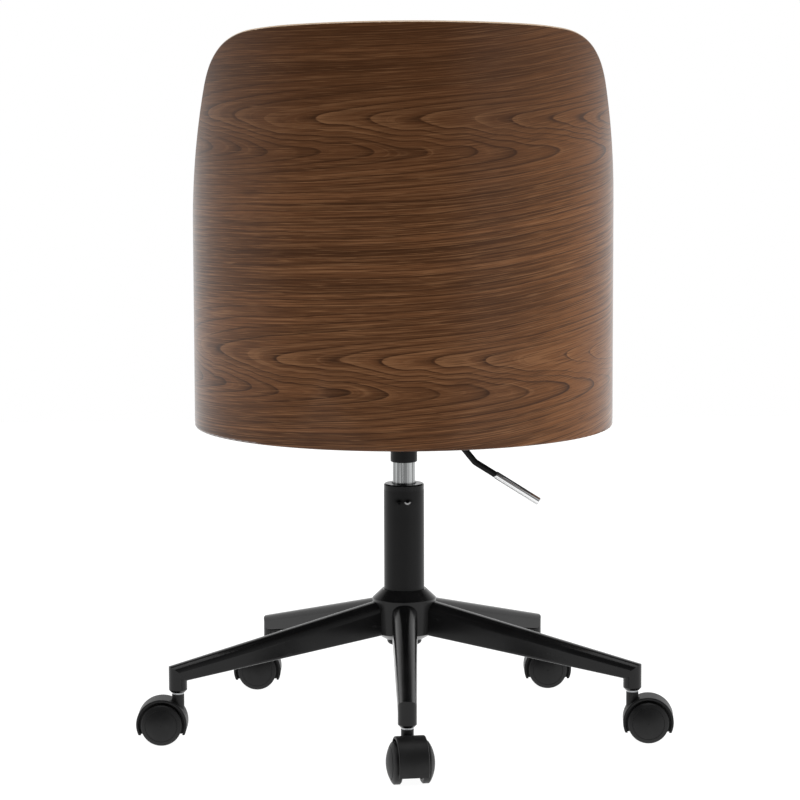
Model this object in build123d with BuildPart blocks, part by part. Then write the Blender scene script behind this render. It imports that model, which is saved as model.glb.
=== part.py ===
"""Swivel office chair: bent-ply barrel shell, padded seat, gas lift, five-leg castor base.

Millimetres, +Z up, origin on the column axis at floor level, the sitter faces -Y.
"""
import os
from math import cos, radians, sin, sqrt

from build123d import *

os.makedirs("parts", exist_ok=True)

# Shell
shell_r = 258.5
shell_t = 12.0
shell_base_z = 381.0
shell_top_z = 880.0
rim_front_y = -116.0
rim_corner_back = 139.5
rim_corner_drop = 20.6
rim_corner_r = 125.0
rim_shoulder_back = 53.5
rim_shoulder_drop = 6.0
rim_shoulder_r = 375.0
rim_over = 10.0
rim_toe_r = 30.0
rim_edge_r = 3.0

# Seat and pads
glue_gap = 0.3
board_gap = 0.6
board_t = 15.0
tee_gap = 0.1
board_rise = 17.0
seat_reach = 228.0
seat_corner_r = 105.0
cushion_t = 74.0
cushion_inset = 4.0
cushion_crown_r = 1500.0
cushion_edge_r = 20.0
cushion_foot_r = 8.0
pad_t = 34.0
pad_edge_t = 21.0
pad_margin = 15.0
pad_edge_r = 9.0
pad_seat_gap = 0.8

bracket_turns = (90.0, 15.0, 165.0)
bracket_reach = 40.0
bracket_w = 40.0
bracket_drop = 14.0
bracket_t = 2.5
screw_r = 1.9
screw_len = 11.0
screw_seat_gap = 0.1

# Mechanism under the seat
plate_t = 3.0
plate_x = 200.0
plate_y = 170.0
plate_corner_r = 18.0
plate_lip = 6.0
bolt_x = 80.0
bolt_y = 65.0
bolt_r = 3.0
bolt_gap = 0.3
bolt_short = 2.0
housing_wall = 2.5
housing_y = 44.0
housing_front_x = 50.0
housing_back_x = 44.0
housing_depth = 41.0
bolt_head_t = 4.0
bolt_head_r = 5.4
bolt_key_r = 2.5
bolt_key_depth = 2.4
tee_flange_r = 9.6
tee_flange_t = 1.5
tee_barrel_r = 4.4
collar_r = 16.6
collar_len = 32.5
collar_rise = 9.5
collar_chamfer = 1.0

# Release lever, drawn in the plane Y = 0 on the -X side
lever_r = 4.0
lever_drop = 19.0
lever_pivot_x = -24.0
lever_knee_x = -53.0
lever_bend_x = -88.5
lever_bend_drop = 44.0
lever_tip_x = -166.0
lever_tip_drop = 93.0
lever_bend_r = 13.0
lever_eye = 3.0
lever_eye_gap = 0.5
grip_r = 5.0
grip_len = 62.0
grip_end = 3.0
grip_edge_r = 1.5
pin_r = 2.5
pin_head = 1.5
pin_head_t = 1.2
pin_seat_gap = 0.1

# Gas lift
tube_r = 25.0
tube_wall = 2.0
tube_top_z = 299.0
tube_taper_z = 172.0
tube_foot_z = 104.0
tube_foot_r = 21.3
tube_foot_edge_r = 4.5
tube_floor_t = 4.5
bush_flange_t = 7.5
bush_sleeve = 84.0
bush_edge = 1.5
bush_lead = 2.0
strut_r = 14.0
strut_wall = 2.0
strut_low_z = 160.0
strut_nose_r = 13.2
strut_nose_rise = 1.0
strut_head = 14.0
strut_foot = 8.0
strut_edge = 1.5
rod_r = 5.0
rod_tail = 6.0
rod_edge = 1.0
rod_flange = 4.0
rod_flange_t = 2.8
piston_rise = 90.0
piston_t = 12.0
bearing_t = 6.0
bearing_race = 2.0
bearing_w = 9.0
bearing_gap = 0.2
clip_t = 2.0
clip_w = 4.0
run_gap = 0.05
dimple_r = 4.0
dimple_depth = 0.9
dimple_drop = 14.0
dimple_spread = 15.0
valve_r = 3.0
valve_gap = 0.5
valve_sink = 11.0
valve_edge = 0.8

# Star base
leg_count = 5
leg_start = 88.7
socket_pitch_r = 292.5
hub_low_r = 38.8
hub_lip_r = 39.7
hub_top_r = 27.5
hub_top_z = 174.0
hub_lip_z = 162.5
hub_lip_edge_r = 1.2
hub_low_z = 119.4
hub_under_z = 111.5
hub_foot_t = 3.0
leg_root_w = 31.7
leg_tip_w = 22.4
leg_root_top = 159.2
leg_root_low = 117.3
leg_tip_top = 94.7
leg_tip_low = 74.3
leg_arch = 0.44
leg_foot_r = 3.5
leg_wall = 2.2
weld_gap = 0.05
socket_low_z = 62.5
socket_seat_z = 80.0
socket_chamfer = 3.0
socket_chamfer_h = 3.2
socket_clear = 0.6
socket_roof = 1.5
spigot_r = 7.6
spigot_h = 8.0
spigot_gap = 0.3
stem_r = 5.5
stem_edge = 1.5
stem_short = 2.5

# Twin-wheel castors
wheel_r = 25.0
wheel_in = 12.6
wheel_rim = 21.6
wheel_dome = 28.5
wheel_edge = 1.3
wheel_hub_r = 9.0
wheel_hub_proud = 1.0
wheel_web = 3.0
wheel_band = 5.0
wheel_cap_t = 4.0
groove_r = 19.5
groove_w = 0.7
hood_r = 31.0
hood_t = 2.8
hood_edge_r = 1.7
hood_half = 17.8
hood_skirt = 12.5
web_half = 9.5
trail = 19.7
boss_r = 7.5
ring_h = 1.8
ring_gap = 0.4
stem_sink = 20.0
stem_sink_gap = 0.2
collar_ring_r = 6.9
axle_r = 3.0
axle_end_gap = 0.3
castor_turn = {1: 98.0, 2: 175.0, 3: 178.0, 4: -2.0, 5: -2.0}

# Values that follow from the sizes above
shell_in_r = shell_r - shell_t
rim_corner = (shell_r - rim_corner_back, shell_top_z - rim_corner_drop)
rim_shoulder = (shell_r - rim_shoulder_back, shell_top_z - rim_shoulder_drop)
board_low_z = shell_base_z + board_rise
board_top_z = board_low_z + board_t
bracket_mid_z = board_low_z - bracket_t / 2 - bracket_drop / 2
bracket_screw_x = shell_in_r - bracket_reach / 2
plate_low_z = board_low_z - plate_t
housing_low_z = plate_low_z - housing_depth
collar_low_z = housing_low_z + housing_wall + collar_rise - collar_len
collar_top_z = collar_low_z + collar_len
lever_z = plate_low_z - lever_drop
lever_bend = (lever_bend_x, lever_z - lever_bend_drop)
lever_tip = (lever_tip_x, lever_z - lever_tip_drop)
bush_top_z = tube_top_z + bush_flange_t
strut_top_z = collar_top_z + strut_nose_rise
valve_top_z = lever_z - lever_r - valve_gap
tube_floor_z = tube_foot_z + tube_floor_t
cushion_low_z = board_top_z
cushion_top_z = cushion_low_z + cushion_t
pad_back_r = shell_in_r - glue_gap
pad_low_z = cushion_top_z - (pad_back_r - pad_t) ** 2 / (2 * cushion_crown_r) + pad_seat_gap
pad_high_z = shell_top_z - pad_margin
piston_z = strut_low_z + piston_rise
bearing_top_z = tube_floor_z + bearing_t
flange_low_z = bearing_top_z + bearing_gap
flange_top_z = flange_low_z + rod_flange_t
stem_shoulder_z = socket_low_z - ring_gap
stem_top_z = socket_seat_z + spigot_h - stem_short
boss_top_z = stem_shoulder_z - ring_h
hub_slope = (hub_lip_r - hub_low_r) / (hub_lip_z - hub_low_z)


def save(builder, name, place=Location()):
    shape = place * builder.part
    shape.label = name
    export_step(shape, f"parts/{name}.step")


def rim_line(over):
    """Side view of the shell in (Y, Z): toe, leaning front edge, round corner, shoulder, back."""
    back_top = (shell_r, shell_top_z)
    FilletPolyline((0, shell_base_z), (rim_front_y, shell_base_z), rim_corner, rim_shoulder, back_top,
                   radius=[rim_toe_r, rim_corner_r, rim_shoulder_r])
    Polyline(back_top, (shell_r + over, shell_top_z), (shell_r + over, shell_base_z), (0, shell_base_z))


def pad_profile():
    """Section of the back pad at its side: flat on the shell, bulged towards the sitter."""
    Polyline((pad_back_r - pad_edge_t, pad_high_z), (pad_back_r, pad_high_z),
             (pad_back_r, pad_low_z), (pad_back_r - pad_edge_t, pad_low_z))
    ThreePointArc((pad_back_r - pad_edge_t, pad_low_z),
                  (pad_back_r - pad_t, (pad_low_z + pad_high_z) / 2),
                  (pad_back_r - pad_edge_t, pad_high_z))


# Bent-ply shell: a half barrel with straight wings, trimmed to the rim's side view
with BuildPart() as back_shell:
    with BuildSketch(Plane.XY.offset(shell_base_z)):
        Circle(shell_r)
        with Locations((0, -shell_r / 2)):
            Rectangle(2 * shell_r, shell_r)
        Circle(shell_in_r, mode=Mode.SUBTRACT)
        with Locations((0, -shell_r)):
            Rectangle(2 * shell_in_r, 2 * shell_r, mode=Mode.SUBTRACT)
    extrude(amount=shell_top_z - shell_base_z)
    with BuildSketch(Plane.YZ):
        with BuildLine():
            rim_line(rim_over)
        make_face()
    extrude(amount=shell_r + rim_over, both=True, mode=Mode.INTERSECT)
    rim_edges = back_shell.edges().filter_by(lambda e: e.length > 2 * shell_t)
    rim_edges = rim_edges.filter_by(lambda e: abs((e % 0.5).Z) < 0.98)
    fillet(rim_edges, rim_edge_r)
    for turn in bracket_turns:
        with Locations(Location((0, 0, 0), (0, 0, turn))):
            with Locations(Location((pad_back_r - bracket_t, 0, bracket_mid_z), (0, 90, 0))):
                Cylinder(screw_r + run_gap, screw_len, align=(Align.CENTER, Align.CENTER, Align.MIN),
                         mode=Mode.SUBTRACT)
save(back_shell, "back_shell")

# Seat board: the shell's plan with a rounded front, set inside the shell
with BuildPart() as seat_board:
    with BuildSketch(Plane.XY.offset(board_low_z)) as board_plan:
        Circle(shell_in_r - board_gap)
        with Locations((0, -seat_reach / 2)):
            Rectangle(2 * (shell_in_r - board_gap), seat_reach)
        with Locations((0, -seat_reach - shell_r)):
            Rectangle(4 * shell_r, 2 * shell_r, mode=Mode.SUBTRACT)
        fillet(board_plan.vertices().group_by(Axis.Y)[0], seat_corner_r)
    extrude(amount=board_t)
    with Locations((0, 0, board_low_z)):
        with GridLocations(2 * bolt_x, 2 * bolt_y, 2, 2):
            Cylinder(tee_barrel_r + tee_gap, board_t,
                     align=(Align.CENTER, Align.CENTER, Align.MIN), mode=Mode.SUBTRACT)
    with Locations((0, 0, board_top_z)):
        with GridLocations(2 * bolt_x, 2 * bolt_y, 2, 2):
            Cylinder(tee_flange_r + tee_gap, tee_flange_t + tee_gap,
                     align=(Align.CENTER, Align.CENTER, Align.MAX), mode=Mode.SUBTRACT)
    for turn in bracket_turns:
        with Locations(Location((0, 0, 0), (0, 0, turn))):
            with Locations((bracket_screw_x, 0, board_low_z - bracket_t)):
                Cylinder(screw_r + run_gap, screw_len, align=(Align.CENTER, Align.CENTER, Align.MIN),
                         mode=Mode.SUBTRACT)
save(seat_board, "seat_board")

# Seat cushion: crowned top, sides drawn in above and below the bulge
with BuildPart() as seat_cushion:
    with BuildSketch(Plane.XY.offset(cushion_low_z)) as cushion_plan:
        Circle(shell_in_r - cushion_inset)
        with Locations((0, -(seat_reach + cushion_inset) / 2)):
            Rectangle(2 * (shell_in_r - cushion_inset), seat_reach + cushion_inset)
        with Locations((0, -seat_reach - cushion_inset - shell_r)):
            Rectangle(4 * shell_r, 2 * shell_r, mode=Mode.SUBTRACT)
        fillet(cushion_plan.vertices().group_by(Axis.Y)[0], seat_corner_r)
    extrude(amount=cushion_t)
    with Locations((0, 0, cushion_top_z - cushion_crown_r)):
        Sphere(cushion_crown_r, mode=Mode.INTERSECT)
    fillet(seat_cushion.faces().sort_by(Axis.Z)[-1].edges(), cushion_edge_r)
    fillet(seat_cushion.faces().sort_by(Axis.Z)[0].edges(), cushion_foot_r)
save(seat_cushion, "seat_cushion")

# Back pad: bulged face turned about the column axis, with straight wings, held inside the rim
with BuildPart() as back_pad:
    with BuildSketch(Plane.XZ):
        with BuildLine():
            pad_profile()
        make_face()
    revolve(axis=Axis.Z)
    with Locations((0, shell_r, (pad_low_z + pad_high_z) / 2)):
        Box(4 * shell_r, 2 * shell_r, 2 * shell_top_z, mode=Mode.INTERSECT)
    with BuildSketch(Plane.XZ):
        with BuildLine():
            pad_profile()
        make_face()
        mirror(about=Plane.YZ)
    extrude(amount=-rim_front_y)
    with BuildSketch(Plane.YZ):
        with BuildLine():
            rim_line(rim_over + pad_margin)
        make_face()
        offset(amount=-pad_margin)
    extrude(amount=shell_r + rim_over, both=True, mode=Mode.INTERSECT)
    soft_edges = back_pad.edges().filter_by(
        lambda e: sqrt((e @ 0.5).X ** 2 + max((e @ 0.5).Y, 0) ** 2) < pad_back_r - glue_gap)
    soft_edges = soft_edges.filter_by(
        lambda e: max(abs((e @ 0).Y), abs((e @ 0.5).Y), abs((e @ 1).Y)) > run_gap)
    fillet(soft_edges, pad_edge_r)
save(back_pad, "back_pad")

# Curved angle brackets that tie the board to the shell
with BuildPart() as shell_brackets:
    for turn in bracket_turns:
        with Locations(Location((0, 0, 0), (0, 0, turn))):
            with Locations((bracket_screw_x, 0, board_low_z)):
                Box(bracket_reach + bracket_drop, bracket_w, bracket_drop,
                    align=(Align.CENTER, Align.CENTER, Align.MAX))
    with Locations((0, 0, board_low_z - bracket_t)):
        Cylinder(pad_back_r - bracket_t, bracket_drop,
                 align=(Align.CENTER, Align.CENTER, Align.MAX), mode=Mode.SUBTRACT)
    with Locations((0, 0, board_low_z)):
        Cylinder(pad_back_r, bracket_drop,
                 align=(Align.CENTER, Align.CENTER, Align.MAX), mode=Mode.INTERSECT)
    for turn in bracket_turns:
        with Locations(Location((0, 0, 0), (0, 0, turn))):
            with Locations((bracket_screw_x, 0, board_low_z)):
                Cylinder(screw_r + run_gap, bracket_drop, mode=Mode.SUBTRACT)
            with Locations(Location((pad_back_r, 0, bracket_mid_z), (0, 90, 0))):
                Cylinder(screw_r + run_gap, bracket_drop, mode=Mode.SUBTRACT)
save(shell_brackets, "shell_brackets")

# Wood screws of the brackets, one up into the board and one out into the shell
with BuildPart() as bracket_screws:
    for turn in bracket_turns:
        with Locations(Location((0, 0, 0), (0, 0, turn))):
            with Locations((bracket_screw_x, 0, board_low_z - bracket_t)):
                Cylinder(screw_r, screw_len, align=(Align.CENTER, Align.CENTER, Align.MIN))
                Cylinder(2 * screw_r, screw_r, align=(Align.CENTER, Align.CENTER, Align.MAX))
            with Locations(Location((pad_back_r - bracket_t - screw_seat_gap, 0, bracket_mid_z), (0, 90, 0))):
                Cylinder(screw_r, screw_len, align=(Align.CENTER, Align.CENTER, Align.MIN))
                Cylinder(2 * screw_r, screw_r, align=(Align.CENTER, Align.CENTER, Align.MAX))
save(bracket_screws, "bracket_screws")

# Pressed plate under the board
with BuildPart() as mech_plate:
    with BuildSketch(Plane.XY.offset(plate_low_z)):
        RectangleRounded(plate_x, plate_y, plate_corner_r)
        with GridLocations(2 * bolt_x, 2 * bolt_y, 2, 2):
            Circle(bolt_r + bolt_gap, mode=Mode.SUBTRACT)
    extrude(amount=plate_t)
    with BuildSketch(Plane.XY.offset(plate_low_z)):
        RectangleRounded(plate_x, plate_y, plate_corner_r)
        offset(amount=-plate_t, mode=Mode.SUBTRACT)
    extrude(amount=-plate_lip)
save(mech_plate, "mech_plate")

# Socket-head bolts through the plate, and the tee nuts they pull into the board
with BuildPart() as plate_bolts:
    with BuildSketch(Plane.XY.offset(plate_low_z)):
        with GridLocations(2 * bolt_x, 2 * bolt_y, 2, 2):
            Circle(bolt_r)
    extrude(amount=plate_t + board_t - bolt_short)
    with BuildSketch(Plane.XY.offset(plate_low_z - bolt_head_t)):
        with GridLocations(2 * bolt_x, 2 * bolt_y, 2, 2):
            Circle(bolt_head_r)
    extrude(amount=bolt_head_t)
    with BuildSketch(Plane.XY.offset(plate_low_z - bolt_head_t)):
        with GridLocations(2 * bolt_x, 2 * bolt_y, 2, 2):
            RegularPolygon(bolt_key_r, 6)
    extrude(amount=bolt_key_depth, mode=Mode.SUBTRACT)
save(plate_bolts, "plate_bolts")

with BuildPart() as tee_nuts:
    with BuildSketch(Plane.XY.offset(board_top_z - tee_flange_t)):
        with GridLocations(2 * bolt_x, 2 * bolt_y, 2, 2):
            Circle(tee_flange_r)
            Circle(bolt_r + run_gap, mode=Mode.SUBTRACT)
    extrude(amount=tee_flange_t)
    with BuildSketch(Plane.XY.offset(board_low_z + bolt_short)):
        with GridLocations(2 * bolt_x, 2 * bolt_y, 2, 2):
            Circle(tee_barrel_r)
            Circle(bolt_r + run_gap, mode=Mode.SUBTRACT)
    extrude(amount=board_t - bolt_short - tee_flange_t)
save(tee_nuts, "tee_nuts")

# Folded box under the plate, open towards the lever
with BuildPart() as mech_housing:
    with Locations(((housing_front_x - housing_back_x) / 2, 0, housing_low_z)):
        Box(housing_front_x + housing_back_x, housing_y, housing_depth,
            align=(Align.CENTER, Align.CENTER, Align.MIN))
    fillet(mech_housing.edges().group_by(Axis.Z)[0], 2 * housing_wall)
    with Locations((-housing_wall, 0, housing_low_z + housing_wall)):
        with Locations(((housing_front_x - housing_back_x) / 2, 0, 0)):
            Box(housing_front_x + housing_back_x, housing_y - 2 * housing_wall, housing_depth,
                align=(Align.CENTER, Align.CENTER, Align.MIN), mode=Mode.SUBTRACT)
    with Locations((-housing_back_x, 0, housing_low_z)):
        Box(4 * housing_wall, housing_y - 2 * housing_wall, 4 * housing_wall, mode=Mode.SUBTRACT)
    with Locations((0, 0, housing_low_z)):
        Cylinder(collar_r + weld_gap, 4 * housing_wall, mode=Mode.SUBTRACT)
    with Locations(Location((lever_pivot_x, 0, lever_z), (90, 0, 0))):
        Cylinder(pin_r + run_gap, 2 * housing_y, mode=Mode.SUBTRACT)
save(mech_housing, "mech_housing")

# Taper socket welded through the housing floor
with BuildPart() as taper_socket:
    with BuildSketch(Plane.XZ):
        with BuildLine():
            Polyline((strut_r + run_gap, collar_low_z), (collar_r - collar_chamfer, collar_low_z),
                     (collar_r, collar_low_z + collar_chamfer), (collar_r, collar_top_z),
                     (strut_nose_r + run_gap, collar_top_z), close=True)
        make_face()
    revolve(axis=Axis.Z)
save(taper_socket, "taper_socket")

# Lever rod: a bent bar with a pivot eye, its inner end over the valve pin
lever_path = [(lever_r, lever_z), (lever_knee_x, lever_z), lever_bend, lever_tip]
with BuildPart() as lever_rod:
    with BuildLine(Plane.XZ) as lever_line:
        FilletPolyline(*lever_path, radius=lever_bend_r)
    with BuildSketch(Plane(origin=(lever_r, 0, lever_z), z_dir=(-1, 0, 0))):
        Circle(lever_r)
    sweep(path=lever_line.wires()[0])
    with Locations((lever_r, 0, lever_z)):
        Sphere(lever_r)
    with Locations(Location((lever_pivot_x, 0, lever_z), (90, 0, 0))):
        Cylinder(lever_r + lever_eye, housing_y - 2 * housing_wall - 2 * lever_eye_gap)
        Cylinder(pin_r + run_gap, 2 * housing_y, mode=Mode.SUBTRACT)
save(lever_rod, "lever_rod")

lever_run = sqrt((lever_tip[0] - lever_bend[0]) ** 2 + (lever_tip[1] - lever_bend[1]) ** 2)
lever_dir = ((lever_tip[0] - lever_bend[0]) / lever_run, 0, (lever_tip[1] - lever_bend[1]) / lever_run)
grip_foot = (lever_tip[0] - lever_dir[0] * grip_len, 0, lever_tip[1] - lever_dir[2] * grip_len)
with BuildPart() as lever_grip:
    with BuildSketch(Plane(origin=grip_foot, z_dir=lever_dir)):
        Circle(grip_r)
    extrude(amount=grip_len + grip_end)
    fillet(lever_grip.edges(), grip_edge_r)
    with BuildSketch(Plane(origin=grip_foot, z_dir=lever_dir)):
        Circle(lever_r + run_gap)
    extrude(amount=grip_len + run_gap, mode=Mode.SUBTRACT)
save(lever_grip, "lever_grip")

with BuildPart() as lever_pin:
    with Locations(Location((lever_pivot_x, 0, lever_z), (90, 0, 0))):
        Cylinder(pin_r, housing_y + 2 * pin_head_t)
    for side in (-1, 1):
        head_y = side * (housing_y / 2 + pin_seat_gap + pin_head_t / 2)
        with Locations(Location((lever_pivot_x, head_y, lever_z), (90, 0, 0))):
            Cylinder(pin_r + pin_head, pin_head_t)
save(lever_pin, "lever_pin")

# Gas lift: tapered outer tube with punched dimples that hold the guide bush
with BuildPart() as gas_tube:
    with BuildSketch(Plane.XZ) as tube_half:
        with BuildLine():
            Polyline((rod_r + run_gap, tube_foot_z), (tube_foot_r, tube_foot_z), (tube_r, tube_taper_z),
                     (tube_r, tube_top_z), (tube_r - tube_wall, tube_top_z),
                     (tube_r - tube_wall, tube_taper_z), (tube_foot_r - tube_wall, tube_floor_z),
                     (rod_r + run_gap, tube_floor_z), close=True)
        make_face()
        fillet(tube_half.vertices().sort_by_distance((tube_foot_r, tube_foot_z))[0], tube_foot_edge_r)
    revolve(axis=Axis.Z)
    for turn in (90 - dimple_spread, 90 + dimple_spread, 270 - dimple_spread, 270 + dimple_spread):
        reach = tube_r + dimple_r - dimple_depth
        with Locations((reach * cos(radians(turn)), reach * sin(radians(turn)), tube_top_z - dimple_drop)):
            Sphere(dimple_r, mode=Mode.SUBTRACT)
save(gas_tube, "gas_tube")

with BuildPart() as guide_bush:
    with BuildSketch(Plane.XZ):
        with BuildLine():
            Polyline((strut_r + run_gap, tube_top_z - bush_sleeve),
                     (tube_r - tube_wall - run_gap, tube_top_z - bush_sleeve),
                     (tube_r - tube_wall - run_gap, tube_top_z), (tube_r, tube_top_z),
                     (tube_r, bush_top_z - bush_edge), (tube_r - bush_edge, bush_top_z),
                     (strut_r + bush_lead, bush_top_z), (strut_r + run_gap, bush_top_z - bush_lead),
                     close=True)
        make_face()
    revolve(axis=Axis.Z)
save(guide_bush, "guide_bush")

# Sliding pressure tube with a taper nose, hollow for the piston
with BuildPart() as gas_strut:
    with BuildSketch(Plane.XZ):
        with BuildLine():
            Polyline((rod_r + run_gap, strut_low_z), (strut_r - strut_edge, strut_low_z),
                     (strut_r, strut_low_z + strut_edge), (strut_r, collar_low_z),
                     (strut_nose_r, strut_top_z),
                     (valve_r + run_gap, strut_top_z), (valve_r + run_gap, strut_top_z - strut_head),
                     (strut_r - strut_wall, strut_top_z - strut_head),
                     (strut_r - strut_wall, strut_low_z + strut_foot),
                     (rod_r + run_gap, strut_low_z + strut_foot), close=True)
        make_face()
    revolve(axis=Axis.Z)
save(gas_strut, "gas_strut")

with BuildPart() as valve_pin:
    with Locations((0, 0, valve_top_z)):
        Cylinder(valve_r, valve_top_z - strut_top_z + valve_sink,
                 align=(Align.CENTER, Align.CENTER, Align.MAX))
    chamfer(valve_pin.edges().sort_by(Axis.Z)[-1], valve_edge)
save(valve_pin, "valve_pin")

# Piston rod with its head in the pressure tube and a flange on the thrust bearing
with BuildPart() as piston_rod:
    with BuildSketch(Plane.XZ):
        with BuildLine():
            Polyline((0, tube_foot_z - rod_tail), (rod_r - rod_edge, tube_foot_z - rod_tail),
                     (rod_r, tube_foot_z - rod_tail + rod_edge), (rod_r, flange_low_z),
                     (rod_r + rod_flange, flange_low_z), (rod_r + rod_flange, flange_top_z),
                     (rod_r, flange_top_z), (rod_r, piston_z), (strut_r - strut_wall - run_gap, piston_z),
                     (strut_r - strut_wall - run_gap, piston_z + piston_t), (0, piston_z + piston_t),
                     close=True)
        make_face()
    revolve(axis=Axis.Z)
save(piston_rod, "piston_rod")

with BuildPart() as thrust_bearing:
    with BuildSketch(Plane.XZ):
        with BuildLine():
            Polyline((rod_r + bearing_gap, tube_floor_z), (rod_r + bearing_w, tube_floor_z),
                     (rod_r + bearing_w, tube_floor_z + bearing_race),
                     (rod_r + bearing_w - rod_edge, tube_floor_z + bearing_race),
                     (rod_r + bearing_w - rod_edge, bearing_top_z - bearing_race),
                     (rod_r + bearing_w, bearing_top_z - bearing_race), (rod_r + bearing_w, bearing_top_z),
                     (rod_r + bearing_gap, bearing_top_z), close=True)
        make_face()
    revolve(axis=Axis.Z)
save(thrust_bearing, "thrust_bearing")

with BuildPart() as rod_clip:
    with BuildSketch(Plane.XY.offset(tube_foot_z - bearing_gap)):
        Circle(rod_r + clip_w)
        Circle(rod_r + run_gap, mode=Mode.SUBTRACT)
        with Locations((0, -rod_r - clip_w)):
            Rectangle(rod_r, 2 * clip_w + rod_r, mode=Mode.SUBTRACT)
    extrude(amount=-clip_t)
save(rod_clip, "rod_clip")


def taper_at(z):
    """Outer radius of the gas tube at height z."""
    rise = min(max((z - tube_foot_z) / (tube_taper_z - tube_foot_z), 0), 1)
    return tube_foot_r + (tube_r - tube_foot_r) * rise


def drum_at(z):
    """Outer radius of the hub's drum at height z."""
    return hub_low_r + (z - hub_low_z) * hub_slope


# Star hub: drum around the tube's taper, bevelled above and below the leg roots
with BuildPart() as base_hub:
    with BuildSketch(Plane.XZ) as hub_half:
        with BuildLine():
            Polyline((taper_at(hub_under_z) + weld_gap, hub_under_z),
                     (taper_at(hub_under_z) + hub_foot_t, hub_under_z), (hub_low_r, hub_low_z),
                     (hub_lip_r, hub_lip_z), (hub_top_r, hub_top_z), (tube_r + weld_gap, hub_top_z),
                     (tube_r + weld_gap, tube_taper_z), close=True)
        make_face()
        fillet(hub_half.vertices().sort_by_distance((hub_lip_r, hub_lip_z))[0], hub_lip_edge_r)
    revolve(axis=Axis.Z)
save(base_hub, "base_hub")


def leg_size(reach):
    """Width, underside and top of a leg at a distance from the column axis."""
    along = (reach - hub_low_r) / (socket_pitch_r - hub_low_r)
    fall = (reach - hub_low_r) / (socket_pitch_r + leg_tip_w / 2 - hub_low_r)
    width = leg_root_w + (leg_tip_w - leg_root_w) * along
    low = leg_root_low + (leg_tip_low - leg_root_low) * fall
    top = leg_root_top + (leg_tip_top - leg_root_top) * fall
    return width, low, top


def leg_section(reach, inset):
    """Arch-topped section of a leg, drawn across it."""
    width, low, top = leg_size(reach)
    with BuildSketch(Plane(origin=(reach, 0, (low + top) / 2), x_dir=(0, 1, 0), z_dir=(1, 0, 0))) as section:
        Rectangle(width - 2 * inset, top - low - 2 * inset)
        fillet(section.vertices().group_by(Axis.Y)[-1], leg_arch * width - inset)
        fillet(section.vertices().group_by(Axis.Y)[0], leg_foot_r - inset)
    return section.sketch


# Pressed tapering legs, hollow, rounded at the outer end, open where they meet the hub
for number in range(1, leg_count + 1):
    heading = leg_start + (number - 1) * 360 / leg_count
    with BuildPart() as leg:
        loft([leg_section(hub_low_r / 2, 0), leg_section(socket_pitch_r + leg_tip_w, 0)])
        loft([leg_section(hub_low_r / 3, leg_wall), leg_section(socket_pitch_r - leg_tip_w, leg_wall)],
             mode=Mode.SUBTRACT)
        with BuildSketch(Plane.XY):
            with Locations((socket_pitch_r, 0)):
                Circle(leg_tip_w / 2)
            with Locations((socket_pitch_r / 2, 0)):
                Rectangle(socket_pitch_r, 2 * leg_root_w)
        extrude(amount=2 * leg_root_top, mode=Mode.INTERSECT)
        with Locations((0, 0, hub_under_z)):
            Cone(drum_at(hub_under_z) + weld_gap, drum_at(hub_top_z) + weld_gap, hub_top_z - hub_under_z,
                 align=(Align.CENTER, Align.CENTER, Align.MIN), mode=Mode.SUBTRACT)
        with Locations((socket_pitch_r, 0, socket_seat_z)):
            Cylinder(leg_tip_w / 2 + socket_clear, socket_seat_z,
                     align=(Align.CENTER, Align.CENTER, Align.MAX), mode=Mode.SUBTRACT)
            Cylinder(spigot_r + weld_gap, spigot_h + spigot_gap,
                     align=(Align.CENTER, Align.CENTER, Align.MIN), mode=Mode.SUBTRACT)
    save(leg, f"leg_{number}", Location((0, 0, 0), (0, 0, heading)))

# Castor sockets under the leg ends
with BuildPart() as leg_sockets:
    with PolarLocations(socket_pitch_r, leg_count, leg_start):
        with Locations((0, 0, socket_low_z)):
            Cone(leg_tip_w / 2 - socket_chamfer, leg_tip_w / 2, socket_chamfer_h,
                 align=(Align.CENTER, Align.CENTER, Align.MIN))
        with Locations((0, 0, socket_low_z + socket_chamfer_h)):
            Cylinder(leg_tip_w / 2, socket_seat_z - socket_low_z - socket_chamfer_h,
                     align=(Align.CENTER, Align.CENTER, Align.MIN))
        with Locations((0, 0, socket_seat_z)):
            Cylinder(spigot_r, spigot_h, align=(Align.CENTER, Align.CENTER, Align.MIN))
    with PolarLocations(socket_pitch_r, leg_count, leg_start):
        with Locations((0, 0, socket_low_z)):
            Cylinder(stem_r + run_gap, socket_seat_z + spigot_h - socket_low_z - socket_roof,
                     align=(Align.CENTER, Align.CENTER, Align.MIN), mode=Mode.SUBTRACT)
save(leg_sockets, "leg_sockets")

# Castors, drawn about the stem with the wheels trailing along +X, then turned into place
dome_rise = wheel_dome - wheel_rim
dome_r = ((wheel_r - wheel_edge) ** 2 + dome_rise ** 2) / (2 * dome_rise)


def dome_at(radius):
    """Height of the wheel's domed face at a distance from the axle."""
    return wheel_dome - dome_r + sqrt(dome_r ** 2 - radius ** 2)


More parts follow.
